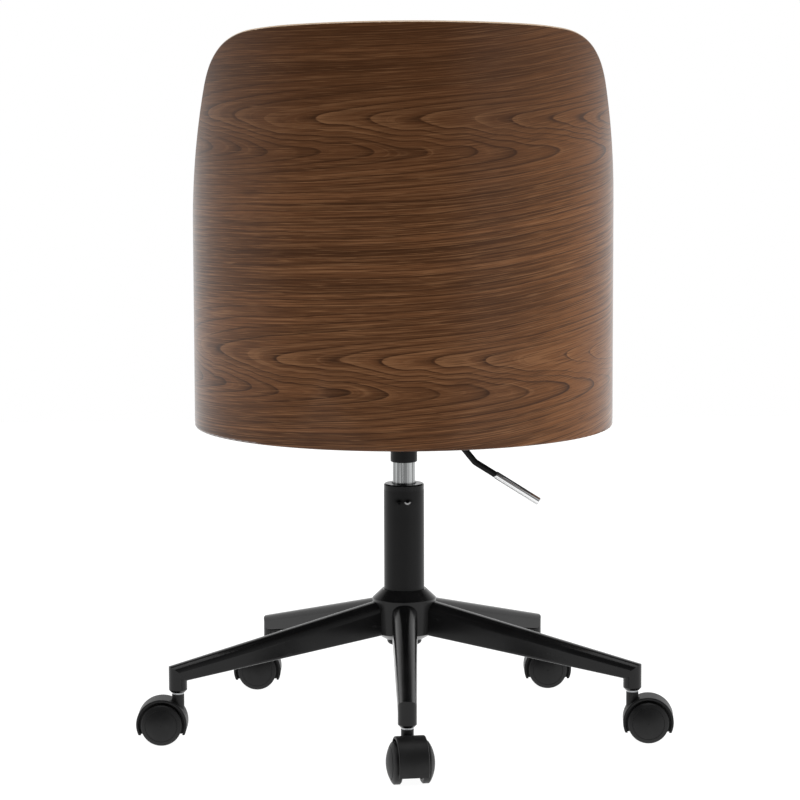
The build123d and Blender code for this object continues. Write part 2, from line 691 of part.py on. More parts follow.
for number in range(1, leg_count + 1):
    heading = radians(leg_start + (number - 1) * 360 / leg_count)
    spot = Location((socket_pitch_r * cos(heading), socket_pitch_r * sin(heading), 0),
                    (0, 0, castor_turn[number]))
    with BuildPart() as castor_stem:
        with BuildSketch(Plane.XZ):
            with BuildLine():
                Polyline((0, boss_top_z - stem_sink), (stem_r, boss_top_z - stem_sink), (stem_r, boss_top_z),
                         (collar_ring_r, boss_top_z), (collar_ring_r, stem_shoulder_z),
                         (stem_r, stem_shoulder_z), (stem_r, stem_top_z - stem_edge),
                         (stem_r - stem_edge, stem_top_z), (0, stem_top_z), close=True)
            make_face()
        revolve(axis=Axis.Z)
    save(castor_stem, f"castor_stem_{number}", spot)

    with BuildPart() as castor_hood:
        with BuildSketch(Plane.XZ):
            with Locations((trail, wheel_r)):
                Circle(hood_r)
                Circle(hood_r - hood_t, mode=Mode.SUBTRACT)
        extrude(amount=hood_half, both=True)
        fillet(castor_hood.edges().filter_by(GeomType.CIRCLE).sort_by(SortBy.RADIUS)[-2:], hood_edge_r)
        with BuildSketch(Plane.XZ):
            with Locations((trail, wheel_r)):
                Circle(hood_r - hood_t / 2)
        extrude(amount=web_half, both=True)
        with Locations((trail, 0, hood_skirt)):
            Box(4 * hood_r, 4 * hood_half, 2 * hood_r,
                align=(Align.CENTER, Align.CENTER, Align.MAX), mode=Mode.SUBTRACT)
        with Locations((0, 0, boss_top_z)):
            Cylinder(boss_r, boss_top_z - wheel_r, align=(Align.CENTER, Align.CENTER, Align.MAX))
            Cylinder(stem_r + run_gap, stem_sink + stem_sink_gap,
                     align=(Align.CENTER, Align.CENTER, Align.MAX), mode=Mode.SUBTRACT)
        with Locations(Location((trail, 0, wheel_r), (90, 0, 0))):
            Cylinder(axle_r + run_gap, 4 * hood_half, mode=Mode.SUBTRACT)
    save(castor_hood, f"castor_hood_{number}", spot)

    with BuildPart() as castor_axle:
        with Locations(Location((trail, 0, wheel_r), (90, 0, 0))):
            Cylinder(axle_r, 2 * (wheel_dome - wheel_cap_t - axle_end_gap))
    save(castor_axle, f"castor_axle_{number}", spot)

    for side, word in ((1, "a"), (-1, "b")):
        with BuildPart() as wheel:
            with BuildSketch(Plane.XY):
                with BuildLine():
                    Polyline((0, wheel_dome), (0, wheel_dome - wheel_cap_t),
                             (axle_r + run_gap, wheel_dome - wheel_cap_t),
                             (axle_r + run_gap, wheel_in - wheel_hub_proud),
                             (wheel_hub_r, wheel_in - wheel_hub_proud), (wheel_hub_r, wheel_in + wheel_web),
                             (wheel_r - wheel_band, wheel_in + wheel_web),
                             (wheel_r - wheel_band, wheel_in), (wheel_r - wheel_edge, wheel_in),
                             (wheel_r, wheel_in + wheel_edge), (wheel_r, wheel_rim - wheel_edge),
                             (wheel_r - wheel_edge, wheel_rim))
                    ThreePointArc((wheel_r - wheel_edge, wheel_rim), (wheel_r / 2, dome_at(wheel_r / 2)),
                                  (0, wheel_dome))
                make_face()
                with Locations((groove_r, dome_at(groove_r))):
                    Rectangle(groove_w, 2 * groove_w, mode=Mode.SUBTRACT)
            revolve(axis=Axis.Y)
        upright = Location((trail, 0, wheel_r), (0, 0, 0 if side > 0 else 180))
        save(wheel, f"wheel_{number}{word}", spot * upright)
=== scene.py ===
"""Dresses a swivel office chair: bent-ply shell, upholstery, gas lift and five-leg castor base.

Metres, +Z up, origin on the column axis at floor level, the sitter faces -Y.
"""

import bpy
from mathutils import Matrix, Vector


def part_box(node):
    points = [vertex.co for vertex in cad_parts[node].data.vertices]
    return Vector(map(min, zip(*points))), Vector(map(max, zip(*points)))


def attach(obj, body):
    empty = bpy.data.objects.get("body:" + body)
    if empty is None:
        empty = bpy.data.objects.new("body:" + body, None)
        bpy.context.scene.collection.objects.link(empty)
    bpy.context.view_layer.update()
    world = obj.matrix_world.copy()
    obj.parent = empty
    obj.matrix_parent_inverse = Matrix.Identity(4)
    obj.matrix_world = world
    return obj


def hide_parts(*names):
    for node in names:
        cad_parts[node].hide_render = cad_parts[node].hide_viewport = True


bl_info = {
    "name": "Barrel Office Chair",
    "version": (1, 0, 0),
    "blender": (4, 5, 0),
    "location": "3D View > Sidebar > Chair",
    "description": "Finishes, upholstery and stage of a swivel chair with a bent-ply shell",
    "category": "Object",
}

from math import cos, exp, hypot, pi, radians, sin

import bmesh
import bpy
from bpy.props import FloatProperty, FloatVectorProperty, IntProperty, PointerProperty
from bpy.types import Operator, Panel, PropertyGroup
from mathutils import Matrix, Vector
from mathutils.bvhtree import BVHTree
from mathutils.kdtree import KDTree

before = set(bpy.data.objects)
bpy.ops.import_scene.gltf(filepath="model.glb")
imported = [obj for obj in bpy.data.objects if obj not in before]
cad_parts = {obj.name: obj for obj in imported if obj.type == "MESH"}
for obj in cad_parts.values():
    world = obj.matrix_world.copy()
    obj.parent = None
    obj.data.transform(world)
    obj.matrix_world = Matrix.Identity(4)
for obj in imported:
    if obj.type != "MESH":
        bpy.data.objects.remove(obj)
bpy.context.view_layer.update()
shell_low, shell_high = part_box("back_shell")
pad_low, pad_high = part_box("back_pad")
cushion_low, cushion_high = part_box("seat_cushion")
board_low, board_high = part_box("seat_board")
tube_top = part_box("gas_tube")[1].z


def length(default, description):
    return FloatProperty(description=description, default=default, unit="LENGTH", precision=5)


def angle(degrees, description):
    return FloatProperty(description=description, default=radians(degrees), subtype="ANGLE")


def amount(default, description):
    return FloatProperty(description=description, default=default, min=0, precision=3)


def colour(default, description):
    return FloatVectorProperty(description=description, default=default, subtype="COLOR",
                               size=3, min=0, max=1)


def spot(default, description):
    return FloatVectorProperty(description=description, default=default, size=3,
                               subtype="TRANSLATION", unit="LENGTH")


def power(default, description):
    return FloatProperty(description=description, default=default, unit="POWER")


class ChairCamera(PropertyGroup):
    """Where the chair is seen from."""
    place: spot((0.1363, 4.0647, 0.9070), "Camera position")
    heading: angle(178.119, "Turn about the vertical")
    pitch: angle(83.037, "Tilt up from straight down")
    roll: angle(-0.181, "Turn about the line of sight")
    lens: FloatProperty(description="Focal length in millimetres", default=148.77)
    shift: FloatProperty(description="Sideways shift of the frame", default=-0.00174, precision=5)


class ChairStage(PropertyGroup):
    """Floor, surroundings and lamps."""
    floor_size: length(6.0, "Side of the square floor")
    backdrop: colour((1.0, 1.0, 1.0), "Colour of floor and surroundings as seen")
    ceiling: amount(0.12, "Brightness overhead in reflections")
    near_side: amount(0.10, "Brightness of the dark side in reflections")
    dark_turn: angle(22.0, "Turn of the dark side from the chair's back")
    ambient: amount(0.36, "Brightness of the surroundings as light")
    floor_glow: amount(0.96, "Share of the floor's white that takes no shadow")
    floor_shade: amount(0.2, "Share of the floor's white that takes the shadow")
    floor_tone: amount(0.8, "Share of the light that the floor throws back on the chair")
    bounce: amount(0.30, "Extra light that comes up from the floor")
    aim: length(0.5, "Height that the lamps point at")
    side_lamp: length(1.8, "Width of the key and fill lamps")
    wide_lamp: length(2.4, "Width of the top and front lamps")
    key_place: spot((-2.9, 1.5, 1.7), "Where the key lamp hangs")
    fill_place: spot((2.9, 1.5, 1.5), "Where the fill lamp hangs")
    top_place: spot((0.0, 0.2, 3.2), "Where the overhead lamp hangs")
    front_place: spot((0.4, -3.0, 2.2), "Where the lamp before the seat hangs")
    key_power: power(58.0, "Key lamp")
    fill_power: power(42.0, "Fill lamp")
    top_power: power(27.0, "Overhead lamp")
    front_power: power(44.0, "Lamp before the seat")


class ChairShell(PropertyGroup):
    """Veneer and ply of the bent shell, and the seat board."""
    wall: length(0.012, "Thickness of the ply")
    veneer: length(0.0004, "Thickness of the face veneer")
    plies: IntProperty(description="Layers in the shell's ply", default=7)
    board_plies: IntProperty(description="Layers in the seat board", default=11)
    leaf: length(0.280, "Height of one leaf of veneer")
    figure_height: length(0.765, "Level of the upper row of pointed figure")
    figure_reach: length(0.070, "How far the figure spreads up and down from its row")
    figure_wander: length(0.016, "How far a row strays from its level")
    fold: length(0.036, "Height between the tips that point one way and the other")
    fold_lift: amount(2.3, "How far the rings run back in the pointed figure")
    tip_reach: length(0.016, "Height of the pale tips")
    tongue_reach: length(0.014, "Height of the dark tongues")
    ring_step: length(0.008, "Spacing of the growth rings up the shell")
    tip_step: length(0.055, "Spacing of the pointed tips round the shell")
    # The late wood's colour also paints the shade towards the top of the shell.
    dark: colour((0.043, 0.0156, 0.0047), "Late wood")
    middle: colour((0.138, 0.0560, 0.0215), "Body of the veneer")
    light: colour((0.246, 0.1200, 0.0540), "Early wood")
    # Warm tint painted over one side of the shell, as warm light falling there.
    warm: colour((0.240, 0.0880, 0.0210), "Warm cast at one side")
    edge_pale: colour((0.610, 0.4850, 0.3600), "Long-grain plies of the edge")
    edge_deep: colour((0.470, 0.3400, 0.2300), "Cross-grain plies of the edge")
    # Black of the seat board's underside; the chrome grip below shows it in its reflection.
    under: colour((0.0100, 0.0095, 0.0090), "Black stain under the seat board")


class ChairUpholstery(PropertyGroup):
    """Cover, welt and thread of the seat and the back pad."""
    cover: colour((0.700, 0.640, 0.545), "Faux leather")
    # The crease colour is painted shade in the grain's creases; the thread also takes it for its darker
    # fibres.
    crease: colour((0.480, 0.410, 0.320), "Faux leather in its creases")
    thread: colour((0.770, 0.720, 0.630), "Sewing thread")
    grain: FloatProperty(description="Pebbles to the metre", default=720.0)
    shrink: length(0.003, "How far a form is drawn in before it is filled")
    voxel: length(0.006, "Mesh size of a form that is filled")
    pressure: amount(3.2, "Filling pressure")
    seat_give: length(0.014, "How far the filling may move the seat's cover")
    crown: length(1.5, "Radius of the seat's crown")
    swell: length(0.012, "How far the seat may rise over its crown")
    seat_corner: length(0.105, "Radius of the seat's front corners")
    pad_give: length(0.012, "How far the filling may move the back pad's cover")
    tuck: length(0.020, "How far the back pad reaches down behind the seat")
    press: amount(2.4, "How much the back pad's edge spreads where it is pressed to the shell")
    pad_border: length(0.012, "Distance of the back pad's welt from its upper edge")
    pad_seam: angle(38.0, "Turn of the back pad's upright seams from the middle")
    seam_step: length(0.004, "Spacing of the points along a seam")
    groove: length(0.0032, "How far a seam draws the cover in")
    groove_reach: length(0.0085, "How far from a seam the cover dips")
    welt_radius: length(0.0026, "Radius of the welt cord")
    welt_stand: amount(0.35, "Share of the radius by which a welt stands over its cover")
    welt_level: length(0.0440, "Height of the seat's welt above the board")
    welt_margin: length(0.00672, "Distance of the seat's stitch rows from its welt")
    stitch: length(0.0042, "Length of a stitch")
    stitch_step: length(0.0052, "Spacing of the stitches")
    stitch_offset: length(0.0042, "Distance of the back pad's stitch rows from their seam")
    thread_radius: length(0.00045, "Radius of the thread")
    thread_stand: amount(0.3, "Share of the radius by which a thread stands over its cover")


class ChairMetal(PropertyGroup):
    """Painted, plated and bright metal."""
    paint: colour((0.0045, 0.0045, 0.0047), "Gloss black paint")
    satin: colour((0.0060, 0.0060, 0.0062), "Satin black paint")
    steel: colour((0.480, 0.490, 0.490), "Ground steel")
    zinc: colour((0.520, 0.530, 0.545), "Zinc plate")
    chrome: colour((0.880, 0.885, 0.890), "Chrome plate")


class ChairPlastic(PropertyGroup):
    """Nylon of the castors and the guide bush."""
    nylon: colour((0.0055, 0.0055, 0.0057), "Black nylon")
    scuff: colour((0.024, 0.024, 0.024), "Nylon rubbed grey")


class Wires:
    """Adds nodes to a tree; a value given to an input is either a socket to link or a constant."""

    def __init__(self, tree):
        self.tree = tree

    def node(self, kind, inputs=None, **settings):
        made = self.tree.nodes.new(kind)
        for name, value in settings.items():
            setattr(made, name, value)
        for key, value in (inputs or {}).items():
            self.plug(made.inputs[key], value)
        return made

    def plug(self, socket, value):
        if isinstance(value, bpy.types.NodeSocket):
            self.tree.links.new(value, socket)
        else:
            socket.default_value = value

    def math(self, operation, *values):
        return self.node("ShaderNodeMath", dict(enumerate(values)), operation=operation).outputs[0]

    def add(self, *values):
        total = values[0]
        for value in values[1:]:
            total = self.math("ADD", total, value)
        return total

    def times(self, *values):
        total = values[0]
        for value in values[1:]:
            total = self.math("MULTIPLY", total, value)
        return total

    def less(self, first, second):
        return self.math("SUBTRACT", first, second)

    def step(self, value, low, high, start=0.0, end=1.0):
        """Smooth step of a value from start to end between two levels."""
        inputs = {"Value": value, "From Min": low, "From Max": high, "To Min": start, "To Max": end}
        return self.node("ShaderNodeMapRange", inputs, interpolation_type="SMOOTHSTEP").outputs[0]

    def blend(self, factor, first, second, mode="MIX"):
        inputs = {0: factor, 6: first, 7: second}
        return self.node("ShaderNodeMix", inputs, data_type="RGBA", blend_type=mode).outputs[2]

    def bell(self, value, middle, width):
        """One at the middle, falling away on both sides."""
        offset = self.times(self.less(value, middle), 1 / width)
        return self.math("EXPONENT", self.times(offset, offset, -1.0))

    def split(self, vector):
        return self.node("ShaderNodeSeparateXYZ", {0: vector}).outputs[:3]

    def join(self, x, y, z=0.0):
        return self.node("ShaderNodeCombineXYZ", {0: x, 1: y, 2: z}).outputs[0]

    def noise(self, place, scale=1.0, detail=2.0, roughness=0.5):
        inputs = {"Vector": place, "Scale": scale, "Detail": detail, "Roughness": roughness}
        return self.node("ShaderNodeTexNoise", inputs, noise_dimensions="3D").outputs["Fac"]

    def drawn(self, first, second, layer=0.0, detail=2.0, roughness=0.5):
        """Noise over two values, each given with its scale, and a third place."""
        place = self.join(self.times(*first), self.times(*second), layer)
        return self.noise(place, 1.0, detail, roughness)

    def bump(self, height, strength, distance):
        inputs = {"Height": height, "Strength": strength, "Distance": distance}
        return self.node("ShaderNodeBump", inputs).outputs["Normal"]

    def surface(self, shader, colour, roughness, height, strength, depth=0.0002):
        """Colour, roughness and relief of a Principled shader."""
        self.plug(shader["Base Color"], colour)
        self.plug(shader["Roughness"], roughness)
        self.plug(shader["Normal"], self.bump(height, strength, depth))


def rgba(colour_property):
    return (*colour_property, 1.0)


def shader_group(name, inputs, outputs):
    """Empty shader group of a place and numbers: the tree, its wires, the given sockets and the results."""
    tree = bpy.data.node_groups.new(name, "ShaderNodeTree")
    tree.interface.new_socket("Place", in_out="INPUT", socket_type="NodeSocketVector")
    for socket in inputs:
        tree.interface.new_socket(socket, in_out="INPUT", socket_type="NodeSocketFloat")
    for socket in outputs:
        tree.interface.new_socket(socket, in_out="OUTPUT", socket_type="NodeSocketFloat")
    wires = Wires(tree)
    given = wires.node("NodeGroupInput").outputs
    return tree, wires, given, wires.node("NodeGroupOutput").inputs


def group_of(name, build):
    """The node group of that name, built the first time it is asked for."""
    return bpy.data.node_groups.get(name) or build(name)


def use_group(wires, name, build, **inputs):
    """Places a group in a material and returns its outputs."""
    node = wires.node("ShaderNodeGroup", node_tree=group_of(name, build))
    for key, value in inputs.items():
        wires.plug(node.inputs[key.replace("_", " ").title()], value)
    return node.outputs


def new_material(name, **constants):
    """A node material with its Principled shader: material, wires, shader and Object coordinates."""
    material = bpy.data.materials.new(name)
    material.use_nodes = True
    wires = Wires(material.node_tree)
    shader = material.node_tree.nodes["Principled BSDF"]
    for key, value in constants.items():
        shader.inputs[key.replace("_", " ").title().replace("Ior", "IOR")].default_value = value
    place = wires.node("ShaderNodeTexCoord").outputs["Object"]
    return material, wires, shader.inputs, place


def build_barrel_wrap(name):
    """Unrolls the shell: distance round it from the back, height, and distance from the column axis."""
    tree, wires, given, result = shader_group(name, ["Radius"], ["Along", "Height", "Reach"])
    x, y, z = wires.split(given["Place"])
    back = wires.math("MAXIMUM", y, 1e-6)
    turn = wires.times(wires.math("ARCTAN2", x, back), given["Radius"])
    wing = wires.times(wires.math("SIGN", x), wires.math("MAXIMUM", wires.times(y, -1.0), 0.0))
    wires.plug(result["Along"], wires.times(wires.add(turn, wing), -1.0))
    wires.plug(result["Height"], z)
    wires.plug(result["Reach"], wires.math("SQRT", wires.add(wires.times(x, x), wires.times(back, back))))
    return tree


def build_skin_wear(name):
    """Handling marks: broad tone, fine speckle and scattered scuffs over a surface."""
    tree, wires, given, result = shader_group(name, ["Scale"], ["Tone", "Speckle", "Scuff"])
    broad = wires.noise(given["Place"], wires.times(given["Scale"], 0.04), 3.0)
    speckle = wires.noise(given["Place"], given["Scale"], 2.0)
    x, y, z = wires.split(given["Place"])
    drawn = wires.join(wires.times(x, 0.35), y, wires.times(z, 1.7))
    scratch = wires.noise(drawn, wires.times(given["Scale"], 0.22), 4.0, 0.65)
    wires.plug(result["Tone"], broad)
    wires.plug(result["Speckle"], speckle)
    wires.plug(result["Scuff"], wires.times(wires.step(scratch, 0.60, 0.72), wires.step(broad, 0.42, 0.62)))
    return tree


def build_leather_grain(name):
    """Pebbled faux leather: height of the pebbles, creases between them, and soft wrinkles."""
    tree, wires, given, result = shader_group(name, ["Scale"], ["Height", "Crease", "Wrinkle"])
    sway = wires.noise(given["Place"], wires.times(given["Scale"], 0.35), 2.0)
    shifted = wires.node("ShaderNodeVectorMath", {0: given["Place"], 1: wires.join(
        wires.times(sway, 0.0016), wires.times(sway, -0.0012), wires.times(sway, 0.0014))}, operation="ADD")
    cells = wires.node("ShaderNodeTexVoronoi", {"Vector": shifted.outputs[0], "Scale": given["Scale"]},
                       feature="DISTANCE_TO_EDGE").outputs["Distance"]
    pebble = wires.step(cells, 0.0, 0.28)
    wrinkle = wires.noise(given["Place"], wires.times(given["Scale"], 0.05), 3.0, 0.6)
    wires.plug(result["Height"], wires.add(wires.times(pebble, 0.8), wires.times(sway, 0.2)))
    wires.plug(result["Crease"], wires.less(1.0, pebble))
    wires.plug(result["Wrinkle"], wrinkle)
    return tree


def build_tool_marks(name):
    """Fine marks on an upright bar: rings round it or streaks up it, by the two scales."""
    tree, wires, given, result = shader_group(name, ["Across", "Up"], ["Marks"])
    x, y, z = wires.split(given["Place"])
    up = wires.times(z, given["Up"])
    marks = wires.drawn((x, given["Across"]), (y, given["Across"]), up, detail=3.0, roughness=0.7)
    wires.plug(result["Marks"], marks)
    return tree


def figure_rings(wires, look, along, height):
    """Growth rings that turn back in rows of points: count, tilt, and masks of rows, tips and tongues."""
    wander = wires.less(wires.drawn((along, 9.0), (0.0,), 4.0), 0.5)
    sway = wires.less(wires.drawn((along, 6.0), (height, 22.0), detail=3.0), 0.5)
    level = wires.add(height, wires.times(wander, look.figure_wander))
    climb = wires.times(height, -1.0)
    rows = tips = tongues = 0.0
    for top in (look.figure_height, look.figure_height - look.leaf):
        foot = top - look.fold
        raised = wires.math("SMOOTH_MAX", level, foot, look.fold / 2)
        folded = wires.math("SMOOTH_MIN", raised, top, look.fold / 2)
        climb = wires.add(climb, wires.times(folded, look.fold_lift))
        rows = wires.add(wires.bell(height, top - look.fold / 2, look.figure_reach), rows)
        tips = wires.add(wires.bell(level, top, look.tip_reach), tips)
        tongues = wires.add(wires.bell(level, foot, look.tongue_reach), tongues)
    tilt = wires.step(along, -0.10, 0.25, 0.25, 0.75)
    lean = wires.math("MAXIMUM", tilt, rows)
    rings = wires.add(wires.times(along, lean, 1 / look.tip_step), wires.times(climb, 1 / look.ring_step),
                      wires.times(sway, wires.less(1.4, wires.times(rows, 1.15))))
    return rings, tilt, rows, tips, tongues


def veneer_colour(wires, look, along, height):
    """Colour of the walnut veneer, with the fibre and the pores that also give its relief, painted warm light
    over one side and painted shade towards the top.
    """
    rings, tilt, rows, tips, tongues = figure_rings(wires, look, along, height)
    phase = wires.math("FRACT", rings)
    weight = wires.drawn((rings, 0.9), (along, 2.5), 3.0, detail=1.0)
    line = wires.times(wires.step(phase, 0.60, 0.95), wires.step(phase, 0.96, 1.0, 1.0, 0.0),
                       wires.step(weight, 0.34, 0.58))
    thin = wires.times(wires.step(phase, 0.84, 0.93), wires.step(phase, 0.955, 1.0, 1.0, 0.0),
                       wires.step(weight, 0.30, 0.46))
    zone = wires.drawn((rings, 0.42), (along, 0.9), roughness=0.6)
    strand = wires.drawn((along, 5.0), (rings, 2.6), detail=3.0, roughness=0.7)
    slope = wires.less(height, wires.times(along, tilt, look.ring_step / look.tip_step))
    fibre = wires.drawn((along, 4.0), (slope, 560.0), detail=3.0, roughness=0.7)
    pore = wires.drawn((along, 22.0), (slope, 1050.0), detail=1.0)

    plain = wires.times(rows, 0.7)
    quiet = wires.less(1.0, wires.times(rows, 0.6))
    broad = wires.add(wires.times(wires.step(zone, 0.32, 0.68), wires.less(1.0, plain)),
                      wires.times(plain, 0.75))
    dark, light, warm = rgba(look.dark), rgba(look.light), rgba(look.warm)
    deep = rgba(0.6 * share for share in look.dark)
    wood = wires.blend(broad, dark, rgba(look.middle))
    for cover, tint in (
            (wires.times(wires.step(strand, 0.48, 0.78), 0.6), light),
            (wires.times(tips, wires.step(phase, 0.0, 0.6, 0.5, 0.0)), light),
            (wires.times(tongues, wires.step(phase, 0.3, 0.9, 0.0, 0.5)), dark),
            # Painted warm light: a warmer, brighter tint over one side of the shell.
            (wires.step(along, 0.08, 0.30, 0.0, 0.55), warm),
            (wires.times(line, wires.step(rows, 0.0, 1.0, 0.6, 0.85)), dark),
            (wires.times(thin, 0.7), deep),
            (wires.times(wires.step(fibre, 0.48, 0.60, 0.0, 0.75), quiet), dark),
            (wires.times(wires.step(fibre, 0.34, 0.45, 0.55, 0.0), quiet), light),
            (wires.step(pore, 0.56, 0.66, 0.0, 0.65), dark),
            (wires.step(pore, 0.30, 0.40, 0.45, 0.0), light),
            # Painted shade: the veneer darkens towards the top of the shell.
            (wires.step(height, 0.58, 0.88, 0.0, 0.50), dark)):
        wood = wires.blend(cover, wood, tint)
    return wood, fibre, pore


def ply_edge(wires, look, along, height, reach):
    """Banded ply of the shell's rim, and a mask of where it shows between the veneers, kept off the bottom
    edge, where the veneer's colour paints the shade over the ply.
    """
    depth = wires.times(wires.less(shell_high.x, reach), 1 / look.wall)
    skin = look.veneer / look.wall
    # Painted shade: along the bottom edge the mask falls away, so the dark veneer colour covers the pale ply
    # there.
    core = wires.times(wires.step(depth, skin * 0.8, skin * 1.3),
                       wires.step(depth, 1 - skin * 1.3, 1 - skin * 0.8, 1.0, 0.0),
                       wires.step(height, shell_low.z + 0.004, shell_low.z + 0.012))
    layer = wires.math("PINGPONG", wires.times(depth, look.plies), 1.0)
    crumb = wires.drawn((along, 300.0), (height, 300.0), wires.times(depth, 9.0), detail=3.0)
    ply = wires.blend(wires.step(layer, 0.35, 0.65), rgba(look.edge_pale), rgba(look.edge_deep))
    return wires.blend(wires.times(crumb, 0.5), ply, rgba(look.edge_deep)), core


def walnut_material(name, look):
    """Satin-lacquered walnut veneer with rows of pointed figure, and the pale ply of the rim."""
    material, wires, shader, place = new_material(
        name, specular_ior_level=0.10, coat_weight=0.5, coat_ior=1.25, coat_roughness=0.07)
    wrap = use_group(wires, "Barrel Wrap", build_barrel_wrap, place=place, radius=shell_high.x)
    along, height, reach = wrap["Along"], wrap["Height"], wrap["Reach"]
    wood, fibre, pore = veneer_colour(wires, look, along, height)
    ply, core = ply_edge(wires, look, along, height, reach)
    rough = wires.add(wires.times(fibre, 0.12), wires.times(core, 0.22), 0.30)
    relief = wires.less(wires.times(fibre, -0.6), wires.times(pore, 0.8))
    wires.surface(shader, wires.blend(core, wood, ply), rough, relief, 0.25)
    return material


def birch_material(name, look):
    """Raw birch ply of the seat board: banded edge, plain rotary-cut face, underside drawn black."""
    material, wires, shader, place = new_material(name, specular_ior_level=0.3)
    x, y, z = wires.split(place)
    figure = wires.drawn((x, 5.0), (y, 60.0), wires.times(z, 5.0), detail=3.0, roughness=0.6)
    fibre = wires.drawn((x, 60.0), (y, 1400.0), wires.times(z, 900.0))
    layers = wires.times(wires.less(z, board_low.z), look.board_plies / (board_high.z - board_low.z))
    inside = wires.step(z, board_low.z + 0.0004, board_low.z + 0.0008)
    band = wires.times(wires.step(wires.math("PINGPONG", layers, 1.0), 0.4, 0.6), inside)
    wood = wires.blend(wires.step(figure, 0.3, 0.7), rgba(look.edge_pale), rgba(look.edge_deep))
    wood = wires.blend(wires.times(band, 0.6), wood, rgba(look.middle))
    wood = wires.blend(wires.times(fibre, 0.35), wood, rgba(look.edge_deep))
    # The underside is drawn black.
    under = wires.step(z, board_low.z + 0.0002, board_low.z + 0.0006, 1.0, 0.0)
    wood = wires.blend(under, wood, rgba(look.under))
    wires.surface(shader, wood, wires.add(wires.times(fibre, 0.2), 0.5), fibre, 0.3)
    return material


def leather_material(name, look):
    """Cream faux leather with a pebbled grain, its creases painted slightly darker as shade."""
    material, wires, shader, place = new_material(name, specular_ior_level=0.4, sheen_weight=0.06)
    grain = use_group(wires, "Leather Grain", build_leather_grain, place=place, scale=look.grain)
    wear = use_group(wires, "Skin Wear", build_skin_wear, place=place, scale=260.0)
    # Painted shade in the grain's creases, with random darker patches of tone.
    tone = wires.add(wires.times(grain["Crease"], 0.32), wires.step(wear["Tone"], 0.35, 0.75, 0.0, 0.20))
    skin = wires.blend(tone, rgba(look.cover), rgba(look.crease))
    rough = wires.add(wires.times(grain["Crease"], 0.16), wires.times(wear["Tone"], 0.14), 0.36)
    height = wires.add(grain["Height"], wires.times(grain["Wrinkle"], 1.6))
    wires.surface(shader, skin, rough, height, 0.45, 0.0003)
    return material


def thread_material(name, look):
    """Twisted sewing thread."""
    material, wires, shader, place = new_material(name, specular_ior_level=0.3)
    twist = wires.noise(place, 2600.0, 2.0)
    fibre = wires.blend(twist, rgba(look.thread), rgba(look.crease))
    wires.surface(shader, fibre, wires.add(wires.times(twist, 0.2), 0.5), twist, 0.4)
    return material


def punch_shading(wires, shader, place, skin):
    """Painted shade in the dimples punched under the gas tube's rim, with their reflection turned down, and a
    painted highlight on the lower lip of one on each face.
    """
    x, y, z = wires.split(place)
    lit_dimple, plain_dimple, below_rim = -0.0038, 0.0068, 0.012
    shade_wide, shade_high = 0.0045, 0.0028
    highlight_radius, highlight_wide = 0.0034, 0.0008
    level = tube_top - below_rim
    gloss = shader["Specular IOR Level"].default_value
    # Painted shade: each dimple's hollow is drawn black and its reflection turned down.
    for middle in (lit_dimple, plain_dimple):
        hollow_shade = wires.times(wires.bell(x, middle, shade_wide), wires.bell(z, level, shade_high))
        skin = wires.blend(hollow_shade, skin, (0.0, 0.0, 0.0, 1.0))
        gloss = wires.times(gloss, wires.less(1.0, hollow_shade))
    wires.plug(shader["Specular IOR Level"], gloss)
    # Painted highlight: a pale crescent on the lower lip of one dimple.
    across, down = wires.less(x, lit_dimple), wires.less(z, level)
    reach = wires.math("SQRT", wires.add(wires.times(across, across), wires.times(down, down)))
    lower = wires.step(down, -0.0022, -0.0006, 1.0, 0.0)
    highlight = wires.times(wires.bell(reach, highlight_radius, highlight_wide), lower)
    return wires.blend(highlight, skin, (0.55, 0.55, 0.55, 1.0))


def paint_material(name, look, base, roughness, specular, peel, mark=None):
    """Black paint over steel: orange peel, faint dust and a few rubbed marks."""
    material, wires, shader, place = new_material(name, specular_ior_level=specular)
    wear = use_group(wires, "Skin Wear", build_skin_wear, place=place, scale=520.0)
    dusty = wires.add(wires.step(wear["Tone"], 0.45, 0.8, 0.0, 0.05), wires.times(wear["Scuff"], 0.05))
    skin = wires.blend(dusty, rgba(getattr(look, base)), (0.06, 0.06, 0.06, 1.0))
    # Painted shade and highlight at punched dimples, for a finish that asks for them.
    if mark:
        skin = mark(wires, shader, place, skin)
    rough = wires.add(wires.times(wear["Tone"], 0.12), wires.times(wear["Scuff"], 0.10), roughness - 0.06)
    wires.surface(shader, skin, rough, wear["Speckle"], peel)
    return material


def plated_material(name, look, base, roughness, rings, streak):
    """Bare or plated metal with fine turning rings, blotches of tone, and streaks up it that are partly drawn
    marks and partly painted reflection bands.
    """
    material, wires, shader, place = new_material(name, metallic=1.0)
    marks = use_group(wires, "Tool Marks", build_tool_marks, place=place, across=6.0, up=rings)["Marks"]
    drawn = use_group(wires, "Tool Marks", build_tool_marks, place=place, across=230.0, up=3.0)["Marks"]
    wear = use_group(wires, "Skin Wear", build_skin_wear, place=place, scale=300.0)
    # The streaks up the bar stand partly for drawn marks and partly for painted reflection bands.
    dull = wires.add(wires.times(marks, 0.22), wires.step(wear["Tone"], 0.4, 0.8, 0.0, 0.22),
                     wires.step(drawn, 0.44, 0.60, streak, 0.0))
    bright = getattr(look, base)
    deep = rgba((0.55 - 0.3 * streak) * share for share in bright)
    rough = wires.add(wires.times(marks, 0.14), wires.times(wear["Scuff"], 0.2), roughness - 0.05)
    wires.surface(shader, wires.blend(dull, rgba(bright), deep), rough, marks, 0.12, 0.0001)
    return material


